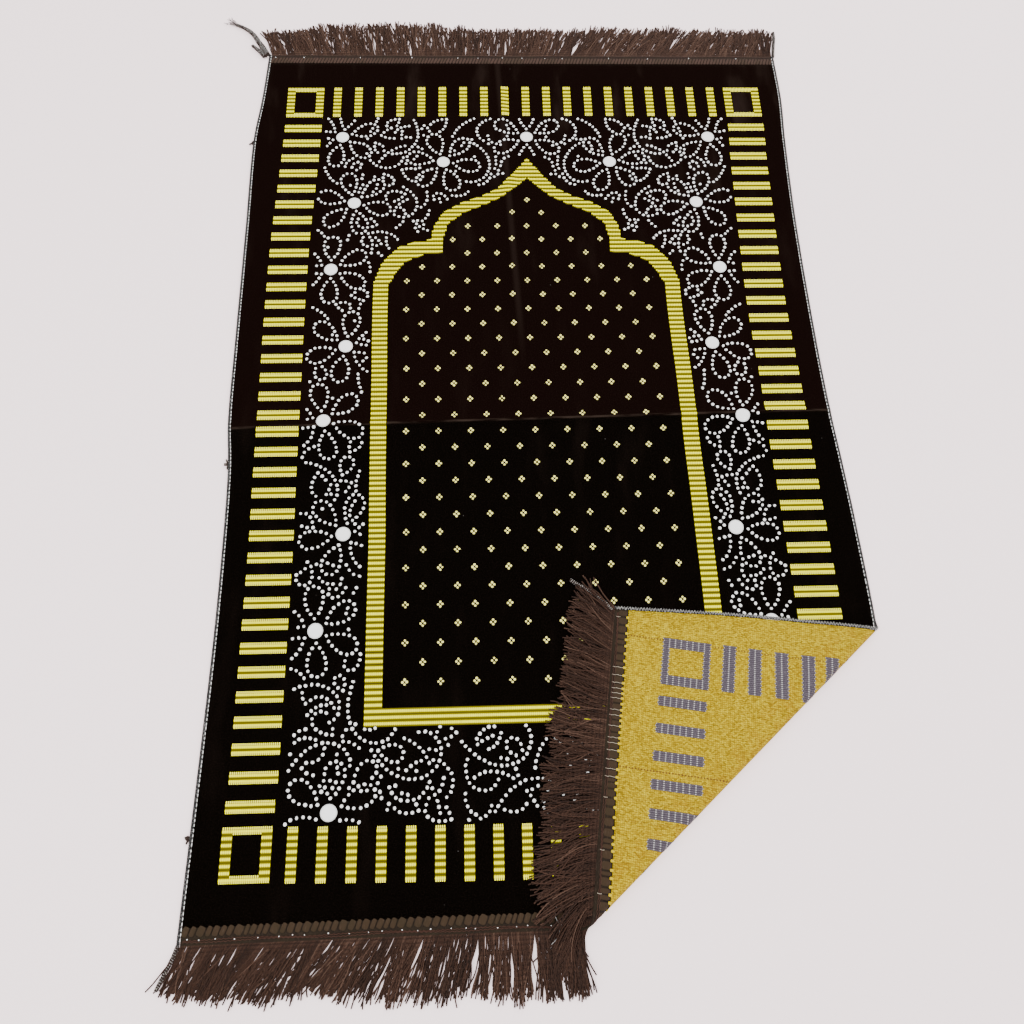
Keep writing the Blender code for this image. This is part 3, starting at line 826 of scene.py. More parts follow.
in_side_bar = np.arange(len(border_floats)) >= end_floats
front_reach = np.where(in_side_bar, SIDE_BAR_REACH, FLOAT_REACH)
front_places = border_places.copy()
front_places[:, 1] += SIDE_RIB_NEARER * in_side_bar * (1.0 * foot_edge - 1.0 * head_edge)
lay_ribs("border_ribs", front_places, front_reach)

teeth = []
for edge, outward, past_rib in ((head_edge, 1.0, TOOTH_PAST_RIB), (foot_edge, -1.0, TOOTH_PAST_FOOT_RIB)):
    places = front_places[edge].copy()
    places[:, 1] += outward * (0.5 * front_reach[edge] + past_rib)
    teeth.append(places)
teeth = np.vstack(teeth)
teeth = raised(teeth[lies_open(teeth)], CLOTH_THICKNESS)
tooth_values = {"Tooth width": TOOTH_WIDTH, "Tooth length": TOOTH_LENGTH, "Tooth height": TOOTH_HEIGHT,
                "Finish": tooth_finish}
keep_piece("border_teeth", lay_mesh(weave(tooth_tree(), teeth, tooth_values)))


# ---- The gold arch -----------------------------------------------------------
# The same ribs frame the field: two legs, a sill at the foot, and a pointed arch with
# two shoulders on each side. The band steps along the loom's columns and ribs.
ARCH_OUTER_LEG = 0.1885
ARCH_INNER_LEG = 0.1700
SILL_SHIFT = -0.0018
SILL_SHIFT_FADES_IN = 0.080
SILL_RIB = -56
SILL_RIBS = 3
# Outer and inner outline of the arch, from its point outwards: (across, along)
ARCH_OUTER = (
    (0.000, 0.3638), (0.019, 0.3370), (0.0387, 0.3146), (0.059, 0.3030), (0.0837, 0.2931),
    (0.106, 0.2780), (0.1177, 0.2552), (0.1187, 0.2377), (0.140, 0.2335), (0.159, 0.2265),
    (0.179, 0.2040), (0.189, 0.1730),
)
ARCH_INNER = (
    (0.000, 0.3312), (0.011, 0.3200), (0.029, 0.3030), (0.054, 0.2890), (0.0787, 0.2777),
    (0.099, 0.2600), (0.1045, 0.2400), (0.1055, 0.2172), (0.130, 0.2130), (0.150, 0.2040),
    (0.161, 0.1900), (0.169, 0.1730),
)
SHORTEST_FLOAT = 0.0016


def arch_line(line, across):
    """Height of one outline of the arch at a distance from the middle."""
    places, heights = zip(*line)
    return float(np.interp(abs(across), places, heights))


def arch_spans(across):
    """Stretches of the band along the rug, at a place across it."""
    sill_low = rib_at(SILL_RIB) - 0.5 * RIB_PITCH
    sill_high = rib_at(SILL_RIB + SILL_RIBS) - 0.5 * RIB_PITCH
    if abs(across) > ARCH_INNER_LEG:
        return [(sill_low, arch_line(ARCH_OUTER, across))]
    return [(sill_low, sill_high), (arch_line(ARCH_INNER, across), arch_line(ARCH_OUTER, across))]


arch_floats = []
arch_reach = []
half_columns = int(ARCH_OUTER_LEG / COLUMN_PITCH)
for column in range(-half_columns, half_columns + 1):
    across = column * COLUMN_PITCH
    for span_low, span_high in arch_spans(across):
        first_rib = round((span_low - RIB_DATUM) / RIB_PITCH)
        last_rib = round((span_high - RIB_DATUM) / RIB_PITCH)
        for rib in range(first_rib, last_rib + 1):
            low = max(span_low, rib_at(rib) - 0.5 * FLOAT_REACH)
            high = min(span_high, rib_at(rib) + 0.5 * FLOAT_REACH)
            if high - low > SHORTEST_FLOAT:
                arch_floats.append((across, 0.5 * (low + high)))
                arch_reach.append(high - low)
arch_floats = np.array(arch_floats)
arch_reach = np.array(arch_reach)
above_sill = arch_floats[:, 1] - rib_at(SILL_RIB + SILL_RIBS)
arch_floats[:, 1] += SILL_SHIFT * (1.0 - smooth_step(above_sill / SILL_SHIFT_FADES_IN))
arch_floats[:, 0] += drawn(arch_floats, DRAWN_IN)
lay_ribs("arch_ribs", arch_floats, arch_reach)


# ---- The white flowers -------------------------------------------------------
# Chains of small white tufts draw six-petalled flowers and curled tendrils between the
# border and the arch. Each flower has a flat round of white yarn for its middle.
# Flowers on the left half, mirrored to the right: (across, along, direction of a petal)
FLOWERS = (
    (-0.2420, 0.3985, 20.0), (-0.1090, 0.3577, 350.0), (0.0000, 0.3987, 30.0),
    (-0.2195, 0.2930, 345.0), (-0.2420, 0.1936, 330.0), (-0.2200, 0.0860, 20.0),
    (-0.2430, -0.0110, 340.0), (-0.2170, -0.1470, 10.0), (-0.2420, -0.2525, 335.0),
    (-0.2195, -0.4310, 25.0),
)
# Tendrils on the left half: (across, along, heading, length, first and last turn per metre)
TENDRILS = (
    (-0.196, 0.432, 250.0, 0.130, -300.0, 3200.0), (-0.150, 0.428, 300.0, 0.090, -900.0, -2600.0),
    (-0.196, 0.352, 60.0, 0.110, -200.0, -3600.0), (-0.164, 0.352, 20.0, 0.075, 900.0, 4200.0),
    (-0.062, 0.432, 200.0, 0.105, 500.0, 2900.0), (-0.018, 0.424, 150.0, 0.080, 900.0, 3600.0),
    (-0.076, 0.392, 330.0, 0.120, -600.0, -3300.0), (-0.040, 0.352, 90.0, 0.085, 400.0, 3800.0),
    (-0.112, 0.300, 280.0, 0.060, 900.0, 5200.0), (-0.160, 0.318, 330.0, 0.070, -700.0, -4200.0),
    (-0.150, 0.276, 300.0, 0.095, 300.0, 3900.0), (-0.200, 0.246, 20.0, 0.090, -900.0, -4800.0),
    (-0.196, 0.210, 70.0, 0.070, 500.0, 5200.0), (-0.262, 0.350, 290.0, 0.075, 400.0, 3900.0),
    (-0.262, 0.252, 320.0, 0.060, -700.0, -4400.0), (-0.262, 0.140, 330.0, 0.080, -300.0, -3900.0),
    (-0.200, 0.150, 240.0, 0.090, 300.0, 3600.0), (-0.262, 0.040, 340.0, 0.090, -500.0, -3900.0),
    (-0.200, 0.024, 110.0, 0.080, -300.0, -3900.0), (-0.262, -0.062, 350.0, 0.090, -600.0, -3300.0),
    (-0.200, -0.072, 250.0, 0.080, 500.0, 3900.0), (-0.262, -0.190, 40.0, 0.070, -700.0, -4400.0),
    (-0.200, -0.206, 240.0, 0.095, 300.0, 3600.0), (-0.262, -0.312, 20.0, 0.080, -500.0, -3900.0),
    (-0.200, -0.304, 250.0, 0.110, 300.0, 3300.0), (-0.262, -0.392, 60.0, 0.090, -500.0, -3300.0),
    (-0.206, -0.352, 240.0, 0.100, 500.0, 3300.0), (-0.182, -0.372, 300.0, 0.130, 500.0, 3300.0),
    (-0.150, -0.362, 340.0, 0.110, -900.0, -3300.0), (-0.164, -0.432, 80.0, 0.120, -300.0, -3300.0),
    (-0.112, -0.436, 100.0, 0.110, 300.0, 3600.0), (-0.092, -0.366, 310.0, 0.120, 300.0, 3300.0),
    (-0.058, -0.362, 200.0, 0.095, 600.0, 4200.0), (-0.060, -0.436, 60.0, 0.125, -400.0, -3300.0),
    (-0.016, -0.432, 120.0, 0.120, 200.0, 3300.0), (-0.004, -0.366, 230.0, 0.110, 500.0, 3900.0),
)
MIRROR = (-1.0, 1.0)
PETALS = 6
PETAL_START = 0.0130
PETAL_LENGTH = 0.0350
PETAL_WIDTH = 0.0190
PETAL_FULLNESS = 0.66
PETAL_POINT = 0.8
PETAL_OPENING = 0.02
ROUTE_STEPS = 60
TUFT_STEP = 0.0060
TUFT_WIDTH = 0.0036
TUFT_HEIGHT = 0.0010
TUFT_ASTRAY = 0.0004
TUFT_TURN = 6.28
TUFTS_APART = 0.0050
MIDDLE_WIDTH = 0.0165
MIDDLE_HEIGHT = 0.0010
MIDDLE_CLEARANCE = 0.0120
FLOWER_REACH = 0.2655
FLOWER_FOOT = -0.4420
FLOWER_HEAD = 0.4300
ARCH_CLEARANCE = 0.0045
ARCH_TOP_WIDTH = 0.12
ARCH_TOP_CLEARANCE = 0.004
SILL_FOOT = -0.3520
WHITE_YARN = (0.920, 0.910, 0.890, 1.0)
WHITE_FIBRE_SHADE = (0.500, 0.490, 0.470, 1.0)
# Glow of the white yarn: painted light, an emission that makes it brighter than the lamps light it
WHITE_GLOW = 0.85
WHITE_DEPTH = 0.0003
# Small leaves and curls close the gaps between the flowers
FILL_TRIES = 5200
LEAF_LENGTHS = (0.016, 0.034)
LEAF_SHAPE = 0.62
CURL_LENGTHS = (0.018, 0.046)
CURL_TURNS = (900.0, 5200.0)
SHARE_THAT_FITS = 0.74


def tuft_tree():
    """Tufts: a low round dome on every point, each turned and sized a little."""
    tree, given = new_tree("tufts", "Width", "Height", "Sides", "Uneven")
    inputs = {"Vertices": given["Sides"], "Side Segments": 2, "Radius Top": 0.30, "Radius Bottom": 0.5,
              "Depth": 1.0}
    dome = wired(tree, "GeometryNodeMeshCone", inputs, fill_type="TRIANGLE_FAN")

    def random_between(low, high, seed):
        inputs = {2: low, 3: high, "Seed": seed}
        return wired(tree, "FunctionNodeRandomValue", inputs, 1, data_type="FLOAT")

    low, high = 1.0 - given["Uneven"], given["Uneven"] + 1.0
    wide = given["Width"] * random_between(low, high, 5)
    deep = given["Width"] * random_between(low, high, 6)
    turned = xyz(tree, 0.0, 0.0, random_between(0.0, TUFT_TURN, 7))
    return spread(given, dome, xyz(tree, wide, deep, given["Height"]), turned, smooth=True)


def reach_along(points):
    """How far along a line of points each one lies."""
    return np.concatenate(([0.0], np.cumsum(np.linalg.norm(np.diff(points, axis=0), axis=1))))


def pointing(headings):
    """Steps of one metre in each of some headings."""
    return np.column_stack((np.cos(headings), np.sin(headings)))


def evenly(route, step):
    """Points at even steps along a route."""
    reach = reach_along(route)
    at = np.linspace(0.0, reach[-1], max(2, round(reach[-1] / step) + 1))
    return np.column_stack([np.interp(at, reach, values) for values in route.T])


def petal(middle, direction, start=PETAL_START, length=PETAL_LENGTH, width=PETAL_WIDTH):
    """A pointed loop that starts beside a flower's middle and comes back to it."""
    share = np.linspace(PETAL_OPENING, 1.0 - PETAL_OPENING, ROUTE_STEPS)
    out = start + 0.5 * length * (1.0 - np.cos(2.0 * math.pi * share))
    narrowing = np.sin(math.pi * share) ** PETAL_POINT
    side = PETAL_FULLNESS * width * np.sin(2.0 * math.pi * share) * narrowing
    along = np.array((math.cos(direction), math.sin(direction)))
    over = np.array((-along[1], along[0]))
    return evenly(middle + out[:, None] * along + side[:, None] * over, TUFT_STEP)


def tendril(across, along, heading, length, first_turn, last_turn):
    """A curling chain, whose turn grows or eases along it."""
    turns = np.radians(np.linspace(first_turn, last_turn, ROUTE_STEPS)) * length / ROUTE_STEPS
    moves = pointing(math.radians(heading) + np.cumsum(turns)) * length / ROUTE_STEPS
    return evenly(np.array((across, along)) + np.cumsum(moves, axis=0), TUFT_STEP)


def in_flower_field(place):
    """Whether a tuft lies between the border and the arch."""
    across, along = abs(place[0]), place[1]
    if across > FLOWER_REACH or not FLOWER_FOOT < along < FLOWER_HEAD:
        return False
    if across > ARCH_OUTER_LEG + ARCH_CLEARANCE or along < SILL_FOOT:
        return True
    slack = ARCH_CLEARANCE + ARCH_TOP_CLEARANCE * (across < ARCH_TOP_WIDTH)
    near = [arch_line(ARCH_OUTER, across + step) for step in (-ARCH_CLEARANCE, 0.0, ARCH_CLEARANCE)]
    return along > max(near) + slack


def has_room(place, tufts):
    """Whether a tuft at a place keeps off the flowers' middles and the tufts so far."""
    clear_of_middles = np.min(np.linalg.norm(middles - place, axis=1)) > MIDDLE_CLEARANCE
    clear_of_tufts = not len(tufts) or np.min(np.linalg.norm(tufts - place, axis=1)) > TUFTS_APART
    return clear_of_middles and clear_of_tufts and in_flower_field(place)


chance = random.Random(17)
middles = []
chains = []
for across, along, direction in FLOWERS:
    for side in ((1.0, -1.0) if across else (-1.0,)):
        middle = np.array((across * side, along))
        middles.append(middle)
        for number in range(PETALS):
            heading = direction + number * 360.0 / PETALS
            chains.append(petal(middle, math.radians(heading if side > 0 else 180.0 - heading)))
for tendril_row in TENDRILS:
    chain = tendril(*tendril_row)
    chains += [chain, chain * MIRROR]
middles = np.array(middles)
kept = []
for place in np.concatenate(chains):
    if has_room(place, np.array(kept)):
        astray = [chance.uniform(-TUFT_ASTRAY, TUFT_ASTRAY) for _ in range(2)]
        kept.append(place + astray)

for number in range(FILL_TRIES):
    seed = np.array((chance.uniform(-FLOWER_REACH, 0.0), chance.uniform(FLOWER_FOOT, FLOWER_HEAD)))
    heading = chance.uniform(0.0, 2.0 * math.pi)
    side = chance.choice((-1.0, 1.0))
    if number % 3:
        length = chance.uniform(*LEAF_LENGTHS)
        chain = petal(seed, heading, 0.0, length, LEAF_SHAPE * length)
    else:
        turns = [side * turn for turn in CURL_TURNS]
        chain = tendril(*seed, math.degrees(heading), chance.uniform(*CURL_LENGTHS), *turns)
    if not in_flower_field(seed):
        continue
    so_far = np.array(kept)
    fits = [place for place in chain if place[0] < -0.5 * TUFTS_APART and has_room(place, so_far)]
    if len(fits) >= SHARE_THAT_FITS * len(chain):
        kept += fits + [place * MIRROR for place in fits]

white_finish, tree, shader = new_finish("white_yarn", 0.65)
fibres = yarn_fluff(tree, 1800.0)
# Hollows between the fibres are painted darker: painted shade
paint(shader, tint(WHITE_YARN, fibres.ramp(0.55, 0.30), WHITE_FIBRE_SHADE), WHITE_GLOW)
relief(shader, fibres, WHITE_DEPTH)

dome_tree = tuft_tree()


def tuft(points, width, height, sides, uneven, finish):
    """Domes on flat points, laid in their place."""
    values = {"Width": width, "Height": height, "Sides": sides, "Uneven": uneven, "Finish": finish}
    return lay_mesh(weave(dome_tree, points, values))


def lay_tufts(name, places, *shape_and_finish):
    """Set domes on the open part of the pile, and keep them as a piece."""
    places = raised(places[lies_open(places)], CLOTH_THICKNESS - SEAT)
    keep_piece(name, tuft(places, *shape_and_finish))


kept = np.array(kept)
kept[:, 0] += drawn(kept, DRAWN_IN)
middles[:, 0] += drawn(middles, DRAWN_IN)
lay_tufts("white_tufts", kept, TUFT_WIDTH, TUFT_HEIGHT, 7, 0.17, white_finish)
lay_tufts("flower_middles", middles, MIDDLE_WIDTH, MIDDLE_HEIGHT, 40, 0.02, white_finish)


# ---- The sprigs in the field -------------------------------------------------
# Small yellow sprigs in staggered rows fill the field inside the arch. Each is four
# short lobes of gold yarn round a darker middle.
SPRIG_ROWS = 31
FIRST_SPRIG_ROW = 0.297
SPRIG_ROW_PITCH = 0.02015
SPRIG_PITCH = 0.0371
SPRIG_REACH = 0.150
SPRIG_CLEARANCE = 0.014
# Lobes of a sprig: across, along
SPRIG_LOBES = ((0.0000, 0.0024), (0.0022, 0.0002), (-0.0022, -0.0002), (0.0000, -0.0024))
SPRIG_LOBE_WIDTH = 0.0028
SPRIG_LOBE_HEIGHT = 0.0008
PALE_GOLD = (0.900, 0.830, 0.260, 1.0)

lobes = []
for row in range(SPRIG_ROWS):
    along = FIRST_SPRIG_ROW - row * SPRIG_ROW_PITCH
    for number in range(-5, 6):
        across = (number + 0.5 * (row % 2)) * SPRIG_PITCH
        below_arch = along < arch_line(ARCH_INNER, across) - SPRIG_CLEARANCE
        narrow_top = row > 1 or abs(across) < SPRIG_PITCH
        if abs(across) <= SPRIG_REACH and narrow_top and (below_arch or row < 2):
            lobes += [(across + lobe[0], along + lobe[1]) for lobe in SPRIG_LOBES]
lobes = np.array(lobes)
lobes[:, 0] += drawn(lobes, DRAWN_IN)

sprig_finish, tree, shader = new_finish("sprig_gold", 0.55)
fibres = yarn_fluff(tree, 1600.0)
paint(shader, tint(PALE_GOLD, fibres.ramp(0.50, 0.30), GOLD_GROOVE_SHADE), GOLD_GLOW)
lay_tufts("field_sprigs", lobes, SPRIG_LOBE_WIDTH, SPRIG_LOBE_HEIGHT, 6, 0.15, sprig_finish)


# ---- The heading tapes -------------------------------------------------------
# A brown woven tape is sewn over each cut end. Thick slanted loops of its yarn reach onto
# the pile, chain stitches run near the outer edge, and white ties hold it here and there.
TAPE_UNDER = 0.0006
TAPE_OVER = 0.0024
TAPE_STATIONS = 280
TAPE_CREST = 0.30
# Section of a tape: inwards from the outer edge, up
TAPE_RING = (
    (0.0002, 0.0012), (0.0007, 0.0008), (0.0025, TAPE_UNDER), (0.0080, TAPE_UNDER),
    (0.0150, TAPE_UNDER), (0.0156, 0.0010), (0.0156, 0.0020), (0.0150, TAPE_OVER),
    (0.0080, TAPE_OVER), (0.0025, TAPE_OVER), (0.0007, 0.0022), (0.0002, 0.0018),
)
# Tapes: end, outward, seed, pitch of the loops, how uneven it is, their length and middle
# inwards, lines of chain stitch, pitch of the ties, brown of the yarn, brown of the stitches
TAPES = (
    ("head", 1.0, 23, 0.0043, 0.12, 0.0122, 0.0112, (0.0022,), 0.0480,
     (0.058, 0.032, 0.023, 1.0), (0.062, 0.034, 0.024, 1.0)),
    ("foot", -1.0, 29, 0.0070, 0.40, 0.0108, 0.0126, (0.0040, 0.0054), 0.0150,
     (0.038, 0.0225, 0.0115, 1.0), (0.050, 0.018, 0.010, 1.0)),
)
PAD_FILL = 0.97
PAD_HEIGHT = 0.0013
PAD_SLANT = math.radians(22.0)
PAD_SLANT_STRAY = 0.08
BACK_PAD_LENGTH = 0.0108
BACK_PAD_MIDDLE = 0.0100
BACK_PAD_HEIGHT = 0.0006
CHAIN_STITCH_STEP = 0.0022
CHAIN_STITCH_SWAY = 0.0004
CHAIN_STITCH_RADIUS = 0.00042
CHAIN_STITCH_ENDS = 0.002
CHAIN_STITCH_UPS = (TAPE_OVER + 0.0002, TAPE_UNDER - SEAT)
# Slow wander of a line of stitches: reach, turn per metre along it, and per metre inwards
CHAIN_STITCH_WANDER = (0.0006, 55.0, 900.0)
TIE_WIDTH = 0.0011
TIE_HEIGHT = 0.0009
TIE_INWARD = 0.0058
TIE_ASTRAY = 0.0008
TIE_SPACING = (0.5, 1.6)
FIRST_TIE = 0.006
LAST_TIE = 0.004
# Pale threads across the tape: share of them that shows, and how far inwards they run
CROSSINGS = (0.30, 0.0072)
WIDE_CROSSINGS = (0.92, 0.0165)
CROSSINGS_ARE_WIDE = (0.165, 0.280)
CROSSING_START = 0.0030
CROSSING_RADIUS = 0.00028
# Waves of a thread: their height, and their turn per metre
CROSSING_WAVE = (0.0003, 900.0)
CROSSING_SINK = 0.0003
CROSSING_LIFTS = np.array((0.0002, 0.0, -0.0001, -0.0001, 0.0, -0.0003))
CROSSING_BEIGE = (0.430, 0.360, 0.270, 1.0)
GOLD_TOOTH_WIDTH = 0.0027
GOLD_TOOTH_LENGTH = 0.0034
GOLD_TOOTH_INWARD = 0.0152
GOLD_TOOTH_HEIGHT = 0.0007
BACK_TOOTH_GOLD = (0.560, 0.400, 0.003, 1.0)
TAPE_SLIT_SHADE = (0.005, 0.003, 0.002, 1.0)
TAPE_FLUFF = (0.085, 0.055, 0.040, 1.0)
TAPE_OLIVE = (0.024, 0.018, 0.008, 1.0)
TAPE_DEPTH = 0.0004


def end_line(outward, across, inward):
    """Flat places along one end of the rug, a distance inwards from its outer edge."""
    across = np.asarray(across, float)
    ends = read_table(END_EDGES, across, 1 if outward > 0 else 2)
    return np.column_stack((across, ends - outward * inward))


def end_reach(outward):
    """Where a tape starts and stops across the rug."""
    along = np.array((outward * (HALF_LENGTH - 0.5 * TAPE_WIDTH),))
    return float(cloth_edges(0.0, along)[0]), float(cloth_edges(1.0, along)[0])


def skin_rings(stations, corners):
    """Faces of a closed tube through rings of points, with flat ends."""
    faces = []
    last = (stations - 1) * corners
    for first in range(0, last, corners):
        for corner in range(corners):
            following = (corner + 1) % corners
            round_first = (corner, following, corners + following, corners + corner)
            faces.append([first + place for place in round_first])
    return faces + [range(corners)[::-1], range(last, last + corners)]


def tube(name, stations, finish):
    """A closed tube through rings of points, given as one line of them for each corner."""
    rings = np.stack(stations, axis=1)
    mesh = bpy.data.meshes.new(name)
    mesh.from_pydata(lay(rings.reshape(-1, 3)).tolist(), [], skin_rings(*rings.shape[:2]))
    mesh.materials.append(finish)
    mesh.shade_smooth()
    shell = bmesh.new()
    shell.from_mesh(mesh)
    bmesh.ops.recalc_face_normals(shell, faces=shell.faces)
    shell.to_mesh(mesh)
    shell.free()
    return mesh


def pad_tree():
    """Padded loops of yarn: a low rounded bolster on every point, slanted, or turned over."""
    tree, given = new_tree("tape_pads", "Pad length", "Pad height", "Turned over")
    x, y = own_place(tree)
    from_end = (abs(y) * 2.0) ** 5.0
    crest = (1.0 - (abs(x) * 2.0) ** 3.0) * (1.0 - from_end)
    pad = shift(note(grid(tree, 1.0, 1.0, 6, 8), "crest", crest), x * from_end * -0.45, crest)
    scale = xyz(tree, noted(tree, "breadth"), given["Pad length"], given["Pad height"])
    return spread(given, pad, scale, xyz(tree, 0.0, given["Turned over"], noted(tree, "slant")))


def thread_tree():
    """Yarn: a round tube along every line of points, with the place round it kept as its spin."""
    tree, given = new_tree("threads", "Radius", "Sides")
    lines = wired(tree, "GeometryNodeMeshToCurve", {0: given["Geometry"]})
    inputs = {"Resolution": given["Sides"], "Radius": 1.0}
    ring = wired(tree, "GeometryNodeCurvePrimitiveCircle", inputs)
    x, y = own_place(tree)
    spun = note(note(ring, "spin_x", x), "spin_y", y)
    scale = xyz(tree, given["Radius"], given["Radius"], 1.0)
    sized = wired(tree, "GeometryNodeTransform", {"Geometry": spun, "Scale": scale})
    inputs = {"Curve": lines, "Profile Curve": sized, "Fill Caps": True}
    return dress(given, wired(tree, "GeometryNodeCurveToMesh", inputs), smooth=True)


def spin_threads(lines, radius, finish, sides=4, shades=None):
    """Tubes along lines of points; each line carries its run and its shade."""
    edges = []
    first = 0
    for line in lines:
        edges += [(first + step, first + step + 1) for step in range(len(line) - 1)]
        first += len(line)
    shades = [0.5] * len(lines) if shades is None else shades
    attributes = {"run": np.concatenate([reach_along(line) for line in lines]),
                  "shade": np.repeat(shades, [len(line) for line in lines])}
    values = {"Radius": radius, "Sides": sides, "Finish": finish}
    return weave(yarn_tree, np.vstack(lines), values, attributes, edges)


def sew_pads(places, up, length, height, breadth, finish, slant=0.0, turned_over=0.0):
    """A row of padded loops at flat places, laid in its place."""
    values = {"Pad length": length, "Pad height": height, "Turned over": turned_over, "Finish": finish}
    count = len(places)
    shape = {"slant": np.broadcast_to(slant, count), "breadth": np.broadcast_to(breadth, count)}
    mesh = lay_mesh(weave(bolster_tree, raised(places, up), values, shape))
    mesh.shade_smooth()
    return mesh


def join_meshes(meshes):
    """Join plain meshes that share a frame into one mesh with all their materials."""
    holders = []
    for mesh in meshes:
        holder = bpy.data.objects.new("part", mesh)
        bpy.context.scene.collection.objects.link(holder)
        holders.append(holder)
    with bpy.context.temp_override(active_object=holders[0], selected_editable_objects=holders):
        bpy.ops.object.join()
    mesh = holders[0].data
    bpy.data.objects.remove(holders[0])
    return mesh


def tape_yarn(name, brown):
    """The fluffy yarn of a tape, with painted shade between its loops, and olive in patches."""
    finish, tree, shader = new_finish(name, 0.85, 0.15)
    fibres = yarn_fluff(tree, 900.0, 3.0, (1.0, 0.25, 1.0))
    # Towards the edges of each loop the yarn is painted almost black: painted shade in the slits between
    # the loops
    colour = tint(TAPE_SLIT_SHADE, held(tree, "crest").ramp(0.10, 0.65), brown)
    colour = tint(colour, fibres.ramp(0.5, 0.8) * 0.30, TAPE_FLUFF)
    paint(shader, tint(colour, yarn_fluff(tree, 60.0).ramp(0.4, 0.7) * 0.35, TAPE_OLIVE))
    relief(shader, fibres, TAPE_DEPTH)
    return finish


def plain_thread(name, thread_colour):
    """A thread of one colour."""
    finish, _, shader = new_finish(name, 0.7)
    paint(shader, thread_colour)
    return finish


crossing_finish = plain_thread("crossing_threads", CROSSING_BEIGE)
gold_tooth_finish = plain_thread("gold_teeth", BACK_TOOTH_GOLD)
bolster_tree = pad_tree()
yarn_tree = thread_tree()
for (end_name, outward, seed, pad_pitch, pad_uneven, pad_length, pad_middle, stitch_lines, tie_pitch,
     tape_brown, stitch_brown) in TAPES:
    chance = random.Random(seed)
    tape_finish = tape_yarn("tape_yarn_" + end_name, tape_brown)
    stitch_finish = plain_thread("tape_stitches_" + end_name, stitch_brown)
    start, stop = end_reach(outward)
    stations = np.linspace(start, stop, TAPE_STATIONS)
    band = tube("band", [raised(end_line(outward, stations, inward), up) for inward, up in TAPE_RING],
                tape_finish)
    # The band lies under and between the loops; one low crest all over makes its finish paint it partly
    # in the slits' shade
    crest = band.attributes.new("crest", "FLOAT", "POINT")
    crest.data.foreach_set("value", np.full(len(band.vertices), TAPE_CREST, np.float32))

    pad_count = int((stop - start) / pad_pitch)
    breadths = [chance.uniform(1.0 - pad_uneven, 1.0 + pad_uneven) for _ in range(pad_count)]
    breadths = np.array(breadths) * (stop - start) / sum(breadths)
    pad_middles = start + np.cumsum(breadths) - 0.5 * breadths
    between = 0.5 * (pad_middles[1:] + pad_middles[:-1])
    slants = [chance.uniform(-PAD_SLANT_STRAY, PAD_SLANT_STRAY) - PAD_SLANT for _ in pad_middles]
    front_pads = sew_pads(end_line(outward, pad_middles, pad_middle), TAPE_OVER - SEAT, pad_length,
                          PAD_HEIGHT, PAD_FILL * breadths, tape_finish, slants)
    back_pads = sew_pads(end_line(outward, pad_middles, BACK_PAD_MIDDLE), TAPE_UNDER + SEAT,
                         BACK_PAD_LENGTH, BACK_PAD_HEIGHT, PAD_FILL * breadths, tape_finish,
                         turned_over=math.pi)
    gold_teeth = sew_pads(end_line(outward, between, GOLD_TOOTH_INWARD), SEAT, GOLD_TOOTH_LENGTH,
                          GOLD_TOOTH_HEIGHT, GOLD_TOOTH_WIDTH, gold_tooth_finish, turned_over=math.pi)

    lines = []
    for inward in stitch_lines:
        steps = np.arange(start + CHAIN_STITCH_ENDS, stop - CHAIN_STITCH_ENDS, CHAIN_STITCH_STEP)
        sway = CHAIN_STITCH_SWAY * np.where(np.arange(len(steps)) % 2, 1.0, -1.0)
        wander, turn_along, turn_inward = CHAIN_STITCH_WANDER
        sway += wander * np.sin(steps * turn_along + inward * turn_inward)
        lines += [lay(raised(end_line(outward, steps, inward + sway), up)) for up in CHAIN_STITCH_UPS]
    stitches = spin_threads(lines, CHAIN_STITCH_RADIUS, stitch_finish)

    ties = []
    across = start + FIRST_TIE
    while across < stop - LAST_TIE:
        ties.append((across, TIE_INWARD + chance.uniform(-TIE_ASTRAY, TIE_ASTRAY)))
        across += tie_pitch * chance.uniform(*TIE_SPACING)
    ties = np.array(ties)
    tie_points = raised(end_line(outward, ties[:, 0], ties[:, 1]), TAPE_OVER)
    tie_mesh = tuft(tie_points, TIE_WIDTH, TIE_HEIGHT, 6, 0.3, white_finish)

    crossings = []
    for across in between:
        wide = CROSSINGS_ARE_WIDE[0] < across < CROSSINGS_ARE_WIDE[1]
        share, reach = WIDE_CROSSINGS if wide else CROSSINGS
        if chance.random() < share:
            inwards = np.linspace(CROSSING_START, reach, len(CROSSING_LIFTS))
            wobble = CROSSING_WAVE[0] * np.sin(inwards * CROSSING_WAVE[1])
            line = end_line(outward, across + wobble, inwards)
            crossings.append(lay(raised(line, TAPE_UNDER - CROSSING_SINK + CROSSING_LIFTS)))
    crossing_mesh = spin_threads(crossings, CROSSING_RADIUS, crossing_finish)
    joined = join_meshes([band, front_pads, back_pads, gold_teeth, stitches, tie_mesh, crossing_mesh])
    keep_piece("heading_" + end_name, joined)


# ---- The fringes -------------------------------------------------------------
# Brown twisted yarns hang from the outer edge of each tape. They lean and cling together in
# locks, settle onto the floor, and on the folded corner lie over the pile.
YARN_PITCH = 0.00040
FLAP_YARN_PITCH = 0.00033
YARN_SIDES = 3
YARN_RADIUS = 0.00084
YARN_STEPS = 12
